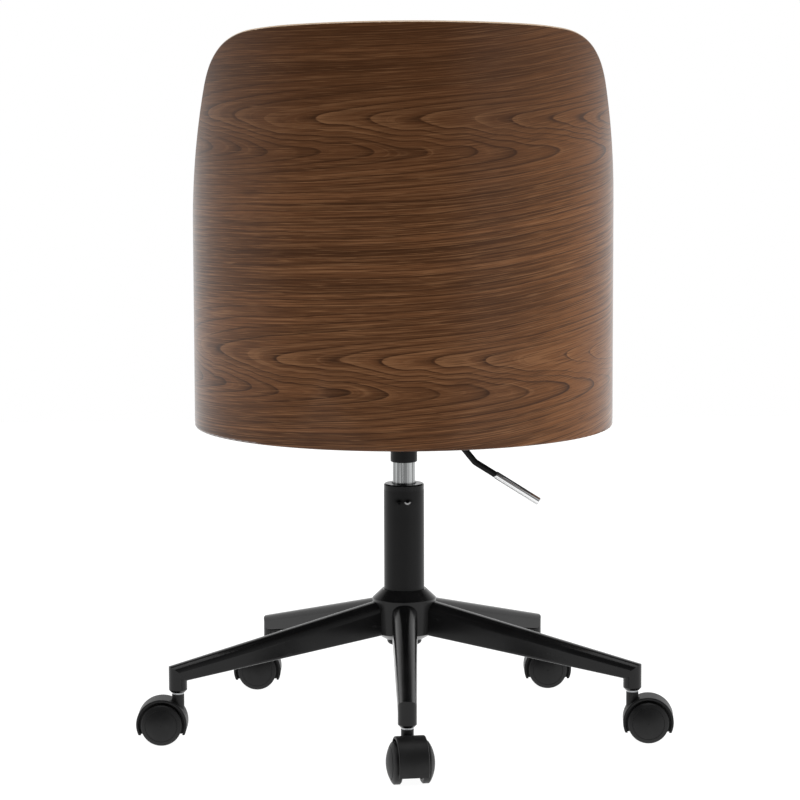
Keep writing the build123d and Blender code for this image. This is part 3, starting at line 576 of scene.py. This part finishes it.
def nylon_material(name, look, roughness, specular):
    """Spark-textured black nylon, rubbed greyer in patches."""
    material, wires, shader, place = new_material(name, specular_ior_level=specular)
    wear = use_group(wires, "Skin Wear", build_skin_wear, place=place, scale=1500.0)
    rubbed = wires.add(wires.times(wear["Scuff"], 0.35), wires.step(wear["Tone"], 0.45, 0.8, 0.0, 0.2))
    skin = wires.blend(rubbed, rgba(look.nylon), rgba(look.scuff))
    rough = wires.add(wires.times(wear["Speckle"], 0.16), wires.times(wear["Scuff"], 0.1), roughness - 0.08)
    wires.surface(shader, skin, rough, wear["Speckle"], 0.25)
    return material


FINISHES = {
    "walnut_veneer": (walnut_material, "chair_shell", {}),
    "birch_board": (birch_material, "chair_shell", {}),
    "cream_leather": (leather_material, "chair_upholstery", {}),
    "sewing_thread": (thread_material, "chair_upholstery", {}),
    "gloss_paint": (paint_material, "chair_metal", dict(
        base="paint", roughness=0.20, specular=0.28, peel=0.05)),
    "satin_paint": (paint_material, "chair_metal", dict(
        base="satin", roughness=0.36, specular=0.16, peel=0.16)),
    # The gas tube's paint carries painted shade and highlight at its dimples.
    "tube_paint": (paint_material, "chair_metal", dict(
        base="satin", roughness=0.36, specular=0.16, peel=0.16, mark=punch_shading)),
    "zinc_plate": (plated_material, "chair_metal", dict(
        base="zinc", roughness=0.34, rings=900.0, streak=0.2)),
    "ground_steel": (plated_material, "chair_metal", dict(
        base="steel", roughness=0.20, rings=2600.0, streak=0.7)),
    "chrome_plate": (plated_material, "chair_metal", dict(
        base="chrome", roughness=0.10, rings=300.0, streak=0.0)),
    "moulded_nylon": (nylon_material, "chair_plastic", dict(roughness=0.46, specular=0.3)),
    "polished_nylon": (nylon_material, "chair_plastic", dict(roughness=0.18, specular=0.18)),
}


def finish(context, name):
    """The finish of that name, mixed the first time it is asked for."""
    build, group, settings = FINISHES[name]
    return bpy.data.materials.get(name) or build(name, getattr(context.scene, group), **settings)


def dress(context, name, *nodes):
    """Gives CAD nodes a finish in place of the one they came with."""
    for node in nodes:
        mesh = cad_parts[node].data
        if mesh.materials:
            mesh.materials[0] = finish(context, name)
        else:
            mesh.materials.append(finish(context, name))


def new_object(name, mesh):
    made = bpy.data.objects.new(name, mesh)
    bpy.context.scene.collection.objects.link(made)
    return made


def settle(piece):
    """Gives a piece the mesh that its modifiers make, and takes the modifiers off."""
    ready = bpy.context.evaluated_depsgraph_get()
    mesh = bpy.data.meshes.new_from_object(piece.evaluated_get(ready))
    mesh.name = piece.name
    piece.modifiers.clear()
    piece.data = mesh


def ease(piece, rounds, where=None):
    """Smooths a piece's mesh, or the part of it that passes a test."""
    form = bmesh.new()
    form.from_mesh(piece.data)
    chosen = [corner for corner in form.verts if where is None or where(corner.co)]
    for turn in range(rounds):
        bmesh.ops.smooth_vert(form, verts=chosen, factor=0.5, use_axis_x=True, use_axis_y=True,
                              use_axis_z=True)
    form.to_mesh(piece.data)
    form.free()


def drawn_in_form(name, node, look):
    """Copy of a soft CAD solid, given an even mesh, smoothed and drawn in."""
    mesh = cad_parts[node].data.copy()
    mesh.materials.clear()
    piece = new_object(name, mesh)
    even = piece.modifiers.new("Even mesh", "REMESH")
    even.mode = "VOXEL"
    even.voxel_size = look.voxel
    settle(piece)
    tree = surface_of(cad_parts[node])
    for turn in range(3):
        ease(piece, 3)
        hold_in(piece, lambda place: tree.find_nearest(place)[0])
    ease(piece, 1)
    moves = [corner.normal * look.shrink for corner in piece.data.vertices]
    for corner, move in zip(piece.data.vertices, moves):
        corner.co -= move
    ease(piece, 2)
    return piece


def fill(piece, pinned, look, cap, frames=20):
    """Blows a form up as cloth, with some points held, and caps how far a point may move."""
    start = [corner.co.copy() for corner in piece.data.vertices]
    held = piece.vertex_groups.new(name="held")
    held.add([index for index, place in enumerate(start) if pinned(place)], 1.0, "REPLACE")
    cloth = piece.modifiers.new("Filling", "CLOTH")
    cloth.settings.quality = 5
    cloth.settings.mass = 0.3
    cloth.settings.tension_stiffness = 20.0
    cloth.settings.compression_stiffness = 20.0
    cloth.settings.shear_stiffness = 8.0
    cloth.settings.bending_stiffness = 0.8
    cloth.settings.use_pressure = True
    cloth.settings.uniform_pressure_force = look.pressure
    cloth.settings.vertex_group_mass = held.name
    cloth.settings.effector_weights.gravity = 0.0
    cloth.collision_settings.use_collision = False
    cloth.point_cache.frame_start = 1
    cloth.point_cache.frame_end = frames
    for number in range(1, frames + 1):
        bpy.context.scene.frame_set(number)
    settle(piece)
    bpy.context.scene.frame_set(1)
    piece.vertex_groups.clear()
    for corner, place in zip(piece.data.vertices, start):
        move = corner.co - place
        if move.length > cap:
            corner.co = place + move * (cap / move.length)


def reach_of(place):
    """Distance from the column axis, or straight sideways from the middle in the wings."""
    return hypot(place.x, max(place.y, 0))


def drawn_to(place, share):
    """A place with its reach multiplied by a share."""
    return Vector((place.x * share, place.y * (share if place.y > 0 else 1), place.z))


def hold_in(piece, room):
    """Moves each point of a piece to the place that its room gives."""
    for corner in piece.data.vertices:
        corner.co = room(corner.co)


def rest_on(piece, level, reach):
    """Stretches the lower part of a piece down to a level."""
    low = min(corner.co.z for corner in piece.data.vertices)
    for corner in piece.data.vertices:
        share = max(0.0, 1 - (corner.co.z - low) / reach)
        corner.co.z += (level - low) * share * share


def sew(piece, lines, look):
    """Draws a piece in along its seams."""
    points = [point for line in lines for point in line]
    near = KDTree(len(points))
    for index, point in enumerate(points):
        near.insert(point, index)
    near.balance()
    moves = []
    for corner in piece.data.vertices:
        distance = near.find(corner.co)[2]
        moves.append(corner.normal * (look.groove * exp(-(distance / look.groove_reach) ** 2)))
    for corner, move in zip(piece.data.vertices, moves):
        corner.co -= move


def finish_cover(piece, material):
    """One subdivision, smooth shading and the cover's material."""
    finer = piece.modifiers.new("Finer", "SUBSURF")
    finer.levels = 1
    finer.render_levels = 1
    settle(piece)
    piece.data.materials.append(material)
    piece.data.shade_smooth()


def surface_of(piece):
    form = bmesh.new()
    form.from_mesh(piece.data)
    tree = BVHTree.FromBMesh(form)
    form.free()
    return tree


def onto(tree, points, lift=0.0):
    """Nearest places on a surface to some points, lifted along its normal, with the normals."""
    found = [tree.find_nearest(point)[:2] for point in points]
    return [place + normal * lift for place, normal in found], [normal for place, normal in found]


def beside(points, normals, offset):
    """A line of points moved sideways over the surface."""
    moved = []
    last = len(points) - 1
    for index, point in enumerate(points):
        ahead = points[min(index + 1, last)] - points[max(index - 1, 0)]
        moved.append(point + ahead.normalized().cross(normals[index]) * offset)
    return moved


def path_object(name, points, normals, closed):
    """Line of vertices and edges that carries the surface's normal at each point."""
    edges = [(index, index + 1) for index in range(len(points) - 1)]
    if closed:
        edges.append((len(points) - 1, 0))
    mesh = bpy.data.meshes.new(name)
    mesh.from_pydata(points, edges, [])
    facing = mesh.attributes.new("facing", "FLOAT_VECTOR", "POINT")
    for index, normal in enumerate(normals):
        facing.data[index].vector = normal
    return new_object(name, mesh)


def node_tree(name, inputs):
    """Empty Geometry Nodes tree with named inputs: the tree, its wires, the given sockets and the output."""
    tree = bpy.data.node_groups.new(name, "GeometryNodeTree")
    tree.interface.new_socket("Geometry", in_out="INPUT", socket_type="NodeSocketGeometry")
    for socket, kind in inputs.items():
        tree.interface.new_socket(socket, in_out="INPUT", socket_type=kind)
    tree.interface.new_socket("Geometry", in_out="OUTPUT", socket_type="NodeSocketGeometry")
    wires = Wires(tree)
    return tree, wires, wires.node("NodeGroupInput").outputs, wires.node("NodeGroupOutput").inputs


def close_tree(wires, given, result, shape):
    """Realized, smooth-shaded and given its material: the end of a Geometry Nodes tree."""
    real = wires.node("GeometryNodeRealizeInstances", {"Geometry": shape.outputs[0]})
    soft = wires.node("GeometryNodeSetShadeSmooth", {"Geometry": real.outputs[0]})
    done = wires.node("GeometryNodeSetMaterial", {"Geometry": soft.outputs[0], "Material": given["Material"]})
    wires.plug(result["Geometry"], done.outputs[0])


def build_welt_cord(name):
    """Round cord along a line."""
    tree, wires, given, result = node_tree(name, {
        "Radius": "NodeSocketFloat", "Sides": "NodeSocketInt", "Material": "NodeSocketMaterial"})
    line = wires.node("GeometryNodeMeshToCurve", {"Mesh": given["Geometry"]})
    ring = wires.node("GeometryNodeCurvePrimitiveCircle", {
        "Resolution": given["Sides"], "Radius": given["Radius"]})
    cord = wires.node("GeometryNodeCurveToMesh", {
        "Curve": line.outputs[0], "Profile Curve": ring.outputs[0], "Fill Caps": True})
    close_tree(wires, given, result, cord)
    return tree


def build_bead_row(name):
    """Row of flattened beads along a line, each lying on the surface under it."""
    tree, wires, given, result = node_tree(name, {
        "Step": "NodeSocketFloat", "Long": "NodeSocketFloat", "Wide": "NodeSocketFloat",
        "High": "NodeSocketFloat", "Material": "NodeSocketMaterial"})
    line = wires.node("GeometryNodeMeshToCurve", {"Mesh": given["Geometry"]})
    spaced = wires.node("GeometryNodeResampleCurve", {
        "Curve": line.outputs[0], "Length": given["Step"]}, mode="LENGTH")
    tangent = wires.node("GeometryNodeInputTangent")
    facing = wires.node("GeometryNodeInputNamedAttribute", {"Name": "facing"}, data_type="FLOAT_VECTOR")
    turn = wires.node("FunctionNodeAlignRotationToVector", {"Vector": tangent.outputs[0]}, axis="X")
    turn = wires.node("FunctionNodeAlignRotationToVector", {
        "Rotation": turn.outputs[0], "Vector": facing.outputs["Attribute"]}, axis="Z", pivot_axis="X")
    ball = wires.node("GeometryNodeMeshUVSphere", {"Segments": 8, "Rings": 5, "Radius": 0.5})
    size = wires.node("ShaderNodeCombineXYZ", {0: given["Long"], 1: given["Wide"], 2: given["High"]})
    bead = wires.node("GeometryNodeTransform", {"Geometry": ball.outputs[0], "Scale": size.outputs[0]})
    row = wires.node("GeometryNodeInstanceOnPoints", {
        "Points": spaced.outputs[0], "Instance": bead.outputs[0], "Rotation": turn.outputs[0]})
    close_tree(wires, given, result, row)
    return tree


def grow(path, name, build, **inputs):
    """Turns a line into the mesh that a node tree grows along it."""
    tree = group_of(name, build)
    modifier = path.modifiers.new(name, "NODES")
    modifier.node_group = tree
    for socket in tree.interface.items_tree:
        key = socket.name.lower()
        if socket.in_out == "INPUT" and key in inputs:
            modifier[socket.identifier] = inputs[key]
    settle(path)
    return path


def joined(name, pieces):
    """One object from several of the same kind."""
    form = bmesh.new()
    for piece in pieces:
        form.from_mesh(piece.data)
    mesh = bpy.data.meshes.new(name)
    form.to_mesh(mesh)
    form.free()
    mesh.materials.append(pieces[0].data.materials[0])
    mesh.shade_smooth()
    for piece in pieces:
        bpy.data.objects.remove(piece)
    return new_object(name, mesh)


def place_piece(piece, body, slot, *nodes):
    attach(piece, body)
    if nodes:
        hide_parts(*nodes)


def lay_welt(context, name, tree, line, closed):
    """Welt cord along a seam of a cover."""
    look = context.scene.chair_upholstery
    points, normals = onto(tree, line, look.welt_radius * look.welt_stand)
    welt = grow(path_object(name, points, normals, closed), "Welt Cord", build_welt_cord,
                radius=look.welt_radius, sides=10, material=finish(context, "cream_leather"))
    place_piece(welt, "seat", "upholstery")


def lay_stitches(context, name, tree, lines, offset, closed):
    """Rows of stitches on both sides of some seams, as one piece."""
    look = context.scene.chair_upholstery
    thick = 2 * look.thread_radius
    rows = []
    for line in lines:
        points, normals = onto(tree, line)
        for side in (-1, 1):
            moved = beside(points, normals, side * offset)
            row, facing = onto(tree, moved, look.thread_radius * look.thread_stand)
            rows.append(grow(path_object("row", row, facing, closed), "Bead Row", build_bead_row,
                             step=look.stitch_step, long=look.stitch, wide=thick, high=thick,
                             material=finish(context, "sewing_thread")))
    place_piece(joined(name, rows), "seat", "upholstery")


def seat_outline(half_width, front, corner, step):
    """Plan of the seat, from the middle of its back round by the -X side: points and outward directions."""
    back = int(pi * half_width / 2 / step)
    bend = int(pi * corner / 2 / step)
    half = []
    for index in range(back):
        turn = pi / 2 * index / back
        out = Vector((-sin(turn), cos(turn), 0))
        half.append((out * half_width, out))
    for index in range(int((front - corner) / step)):
        half.append((Vector((-half_width, -index * step, 0)), Vector((-1, 0, 0))))
    for index in range(bend + 1):
        turn = pi / 2 * index / bend
        out = Vector((-cos(turn), -sin(turn), 0))
        half.append((Vector((corner - half_width, corner - front, 0)) + out * corner, out))
    for index in range(1, int((half_width - corner) / step)):
        half.append((Vector((corner - half_width + index * step, -front, 0)), Vector((0, -1, 0))))
    across = Vector((-1, 1, 1))
    return half + [(point * across, out * across) for point, out in reversed(half[1:])]


def pad_crest(reach, step):
    """Upper edge of the back pad's solid, found from above along a line round the shell."""
    tree = surface_of(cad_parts["back_pad"])
    above, lowest = shell_high.z + 0.1, pad_low.z + 0.02
    quarter = int(pi * reach / 2 / step)
    starts = []
    for index in range(quarter + 1):
        turn = pi / 2 * index / quarter
        starts.append(Vector((-reach * sin(turn), reach * cos(turn), above)))
    for index in range(1, int(-pad_low.y / step) + 1):
        starts.append(Vector((-reach, -index * step, above)))
    found = []
    for start in starts:
        place = tree.ray_cast(start, Vector((0, 0, -1)))[0]
        if place is not None and place.z > lowest:
            found.append(place)
    return [Vector((-place.x, place.y, place.z)) for place in reversed(found[1:])] + found


def pad_edge(tree, look):
    """Line of the back pad's welt, just below its upper edge on the face."""
    drop = Vector((0, 0, 0.001))
    line = []
    for place in pad_crest(pad_high.x - look.pad_border, look.seam_step):
        inward = Vector((-place.x, -max(place.y, 0), 0)).normalized()
        line.append(place + inward * look.pad_border - drop)
    return onto(tree, line)[0]


def pad_upright(tree, turn, step):
    """Line of a seam that runs up the back pad's face."""
    out = Vector((sin(turn), cos(turn), 0))
    line = []
    margin = 0.006
    level = pad_low.z + margin
    while level < pad_high.z:
        place = tree.ray_cast(Vector((0, 0, level)), out)[0]
        if place is not None:
            line.append(place)
        level += step
    return line


class CHAIR_OT_stage(Operator):
    """Lay the floor, light the chair and set the camera"""
    bl_idname = "chair.stage"
    bl_label = "Stage"

    def execute(self, context):
        stage = context.scene.chair_stage
        self.floor(stage)
        self.surroundings(context.scene, stage)
        self.lamp("key_lamp", stage.key_place, stage.side_lamp, stage.key_power, stage.aim)
        self.lamp("fill_lamp", stage.fill_place, stage.side_lamp, stage.fill_power, stage.aim)
        self.lamp("top_lamp", stage.top_place, stage.wide_lamp, stage.top_power, stage.aim, True)
        self.lamp("front_lamp", stage.front_place, stage.wide_lamp, stage.front_power, stage.aim)
        self.camera(context.scene)
        context.scene.view_settings.view_transform = "Standard"
        return {"FINISHED"}

    def seen(self, wires):
        """One where a ray comes straight from the camera, or by gloss or glass."""
        light = wires.node("ShaderNodeLightPath").outputs
        gloss = wires.math("MAXIMUM", light["Is Glossy Ray"], light["Is Transmission Ray"])
        return wires.math("MAXIMUM", light["Is Camera Ray"], gloss)

    def floor(self, stage):
        half = stage.floor_size / 2
        mesh = bpy.data.meshes.new("floor")
        corners = [(-half, -half, 0), (half, -half, 0), (half, half, 0), (-half, half, 0)]
        mesh.from_pydata(corners, [], [(0, 1, 2, 3)])
        material = bpy.data.materials.new("pale_floor")
        material.use_nodes = True
        wires = Wires(material.node_tree)
        material.node_tree.nodes.remove(material.node_tree.nodes["Principled BSDF"])
        white = rgba(stage.backdrop)
        glow = wires.node("ShaderNodeEmission", {"Color": white, "Strength": stage.floor_glow})
        shade = rgba(stage.floor_shade * share for share in stage.backdrop)
        shaded = wires.node("ShaderNodeBsdfDiffuse", {"Color": shade})
        both = wires.node("ShaderNodeAddShader", {0: glow.outputs[0], 1: shaded.outputs[0]})
        plain = wires.node("ShaderNodeBsdfDiffuse", {"Color": rgba(3 * (stage.floor_tone,))})
        bounce = wires.node("ShaderNodeEmission", {"Color": white, "Strength": stage.bounce})
        unseen = wires.node("ShaderNodeAddShader", {0: plain.outputs[0], 1: bounce.outputs[0]})
        mixed = wires.node("ShaderNodeMixShader", {
            0: self.seen(wires), 1: unseen.outputs[0], 2: both.outputs[0]})
        wires.plug(material.node_tree.nodes["Material Output"].inputs["Surface"], mixed.outputs[0])
        mesh.materials.append(material)
        new_object("floor", mesh)

    def surroundings(self, scene, stage):
        world = bpy.data.worlds.new("studio")
        world.use_nodes = True
        scene.world = world
        wires = Wires(world.node_tree)
        light = wires.node("ShaderNodeLightPath").outputs
        sideways, inward, upward = wires.split(wires.node("ShaderNodeTexCoord").outputs["Generated"])
        facing = wires.add(wires.times(sideways, sin(stage.dark_turn)),
                           wires.times(inward, cos(stage.dark_turn)))
        mirrored = wires.times(wires.step(upward, 0.15, 0.85, 1.0, stage.ceiling),
                               wires.step(facing, 0.35, 0.85, 1.0, stage.near_side))
        strength = wires.math("MAXIMUM", light["Is Camera Ray"], wires.times(
            wires.math("MAXIMUM", light["Is Glossy Ray"], light["Is Transmission Ray"]), mirrored))
        strength = wires.math("MAXIMUM", strength, wires.times(light["Is Diffuse Ray"], stage.ambient))
        background = world.node_tree.nodes["Background"].inputs
        background["Color"].default_value = rgba(stage.backdrop)
        wires.plug(background["Strength"], strength)

    def lamp(self, name, place, size, energy, aim, mirrored=False):
        """Round lamp that points at a height on the column axis, mirrored in gloss or not."""
        data = bpy.data.lights.new(name, "AREA")
        data.shape = "DISK"
        data.size = size
        data.energy = energy
        lamp = new_object(name, data)
        lamp.visible_glossy = mirrored
        lamp.location = place
        line = Vector((0, 0, aim)) - Vector(place)
        lamp.rotation_euler = line.to_track_quat("-Z", "Y").to_euler()

    def camera(self, scene):
        view = scene.chair_camera
        data = bpy.data.cameras.new("camera")
        data.lens = view.lens
        data.shift_x = view.shift
        camera = new_object("camera", data)
        turn = Matrix.Rotation(view.heading, 4, "Z") @ Matrix.Rotation(view.pitch, 4, "X")
        camera.matrix_world = Matrix.Translation(view.place) @ turn @ Matrix.Rotation(view.roll, 4, "Z")
        scene.camera = camera


class Finishing:
    """Step that finishes the CAD nodes whose names start as its table says."""

    def execute(self, context):
        for name, starts in self.finishes.items():
            dress(context, name, *[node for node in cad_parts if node.startswith(starts)])
        return {"FINISHED"}


class CHAIR_OT_shell(Finishing, Operator):
    """Veneer the bent shell"""
    bl_idname = "chair.shell"
    bl_label = "Shell"
    finishes = {"walnut_veneer": ("back_shell",)}


class CHAIR_OT_seat(Operator):
    """Fill, seam, welt and stitch the seat cushion"""
    bl_idname = "chair.seat"
    bl_label = "Seat cushion"

    def execute(self, context):
        look = context.scene.chair_upholstery
        half_width, front = cushion_high.x, -cushion_low.y
        welt_z = board_high.z + look.welt_level
        foot_hold, seam_hold, edge_hold = 0.010, 0.004, 0.030
        side_bulge, front_bulge, seat_settle = 0.0022, 0.006, 0.050
        seat_gap, outside = 0.0002, 0.05

        def pinned(place):
            edge = reach_of(place) > half_width - edge_hold or place.y < edge_hold - front
            seam = abs(place.z - welt_z) < seam_hold and edge
            return place.z < cushion_low.z + foot_hold or seam

        def room(place):
            limit = half_width + side_bulge
            if reach_of(place) > limit:
                place = drawn_to(place, limit / reach_of(place))
            crown = cushion_high.z - (place.x ** 2 + place.y ** 2) / (2 * look.crown)
            swell = max(0.0, 1 - (reach_of(place) / half_width) ** 6) * look.swell
            level = min(max(place.z, cushion_low.z + seat_gap), crown + swell)
            return Vector((place.x, max(place.y, -front - front_bulge), level))

        cover = drawn_in_form("seat_cushion_cover", "seat_cushion", look)
        fill(cover, pinned, look, look.seat_give)
        ease(cover, 2)
        rest_on(cover, cushion_low.z, seat_settle)
        tree = surface_of(cover)
        seam = []
        for point, out in seat_outline(half_width, front, look.seat_corner, look.seam_step):
            start = Vector((point.x, point.y, welt_z)) + out * outside
            seam.append(tree.ray_cast(start, -out)[0])
        sew(cover, [seam], look)
        hold_in(cover, room)
        finish_cover(cover, finish(context, "cream_leather"))
        place_piece(cover, "seat", "upholstery", "seat_cushion")
        tree = surface_of(cover)
        lay_welt(context, "seat_welt", tree, seam, True)
        lay_stitches(context, "seat_stitches", tree, [seam], look.welt_margin, True)
        return {"FINISHED"}


class CHAIR_OT_back_pad(Operator):
    """Fill, seam, welt and stitch the back pad"""
    bl_idname = "chair.back_pad"
    bl_label = "Back pad"

    def execute(self, context):
        look = context.scene.chair_upholstery
        back = pad_high.x
        pad_hold, pad_gap, pad_settle = 0.018, 0.0003, 0.120
        press_depth, press_reach = 0.010, 0.016
        zone = back - press_depth

        def pinned(place):
            return reach_of(place) > back - pad_hold

        def room(place):
            reach = reach_of(place)
            if reach <= zone:
                return place
            return drawn_to(place, min(back - pad_gap, zone + (reach - zone) * look.press) / reach)

        cover = drawn_in_form("back_pad_cover", "back_pad", look)
        fill(cover, pinned, look, look.pad_give)
        ease(cover, 8)
        rest_on(cover, pad_low.z - look.tuck, pad_settle)
        tree = surface_of(cover)
        seams = [pad_upright(tree, side * look.pad_seam, look.seam_step) for side in (-1, 1)]
        edge = pad_edge(tree, look)
        sew(cover, seams + [edge], look)
        hold_in(cover, room)
        ease(cover, 16, lambda place: reach_of(place) > back - press_reach)
        hold_in(cover, room)
        finish_cover(cover, finish(context, "cream_leather"))
        place_piece(cover, "seat", "upholstery", "back_pad")
        tree = surface_of(cover)
        lay_welt(context, "pad_welt", tree, edge, False)
        lay_stitches(context, "pad_stitches", tree, seams, look.stitch_offset, False)
        return {"FINISHED"}


class CHAIR_OT_underside(Finishing, Operator):
    """Finish the board, brackets, plate, housing and their fasteners"""
    bl_idname = "chair.underside"
    bl_label = "Seat underside"
    finishes = {"birch_board": ("seat_board",),
                "satin_paint": ("mech_plate", "mech_housing", "taper_socket"),
                "zinc_plate": ("shell_brackets", "bracket_screws", "plate_bolts", "tee_nuts", "lever_pin")}


class CHAIR_OT_lever(Finishing, Operator):
    """Finish the release lever"""
    bl_idname = "chair.lever"
    bl_label = "Lever"
    finishes = {"satin_paint": ("lever_rod",), "chrome_plate": ("lever_grip",)}


class CHAIR_OT_gas_lift(Finishing, Operator):
    """Finish the gas lift"""
    bl_idname = "chair.gas_lift"
    bl_label = "Gas lift"
    finishes = {"tube_paint": ("gas_tube",), "polished_nylon": ("guide_bush",),
                "ground_steel": ("gas_strut", "piston_rod", "valve_pin"),
                "zinc_plate": ("rod_clip", "thrust_bearing")}


class CHAIR_OT_star_base(Finishing, Operator):
    """Finish the hub, legs and castor sockets"""
    bl_idname = "chair.star_base"
    bl_label = "Star base"
    finishes = {"gloss_paint": ("base_hub", "leg_")}


class CHAIR_OT_castors(Finishing, Operator):
    """Finish the castors"""
    bl_idname = "chair.castors"
    bl_label = "Castors"
    finishes = {"moulded_nylon": ("castor_hood", "wheel_"), "zinc_plate": ("castor_stem", "castor_axle")}


OPERATORS = (CHAIR_OT_stage, CHAIR_OT_shell, CHAIR_OT_seat, CHAIR_OT_back_pad, CHAIR_OT_underside,
             CHAIR_OT_lever, CHAIR_OT_gas_lift, CHAIR_OT_star_base, CHAIR_OT_castors)
SETTINGS = {"chair_camera": ChairCamera, "chair_stage": ChairStage, "chair_shell": ChairShell,
            "chair_upholstery": ChairUpholstery, "chair_metal": ChairMetal, "chair_plastic": ChairPlastic}


class CHAIR_PT_panel(Panel):
    """Lists the chair's settings and the steps that make it"""
    bl_label = "Barrel Office Chair"
    bl_idname = "CHAIR_PT_panel"
    bl_space_type = "VIEW_3D"
    bl_region_type = "UI"
    bl_category = "Chair"

    def draw(self, context):
        for operator in OPERATORS:
            self.layout.operator(operator.bl_idname)
        for name in SETTINGS:
            group = getattr(context.scene, name)
            box = self.layout.box()
            for key in group.__annotations__:
                box.prop(group, key, text=key.replace("_", " ").capitalize())


def register():
    for group in SETTINGS.values():
        bpy.utils.register_class(group)
    for name, group in SETTINGS.items():
        setattr(bpy.types.Scene, name, PointerProperty(type=group))
    for operator in OPERATORS:
        bpy.utils.register_class(operator)
    bpy.utils.register_class(CHAIR_PT_panel)


def unregister():
    bpy.utils.unregister_class(CHAIR_PT_panel)
    for operator in reversed(OPERATORS):
        bpy.utils.unregister_class(operator)
    for name, group in reversed(SETTINGS.items()):
        delattr(bpy.types.Scene, name)
        bpy.utils.unregister_class(group)


def main():
    register()
    for operator in OPERATORS:
        category, name = operator.bl_idname.split(".")
        getattr(getattr(bpy.ops, category), name)()


if __name__ == "__main__":
    main()
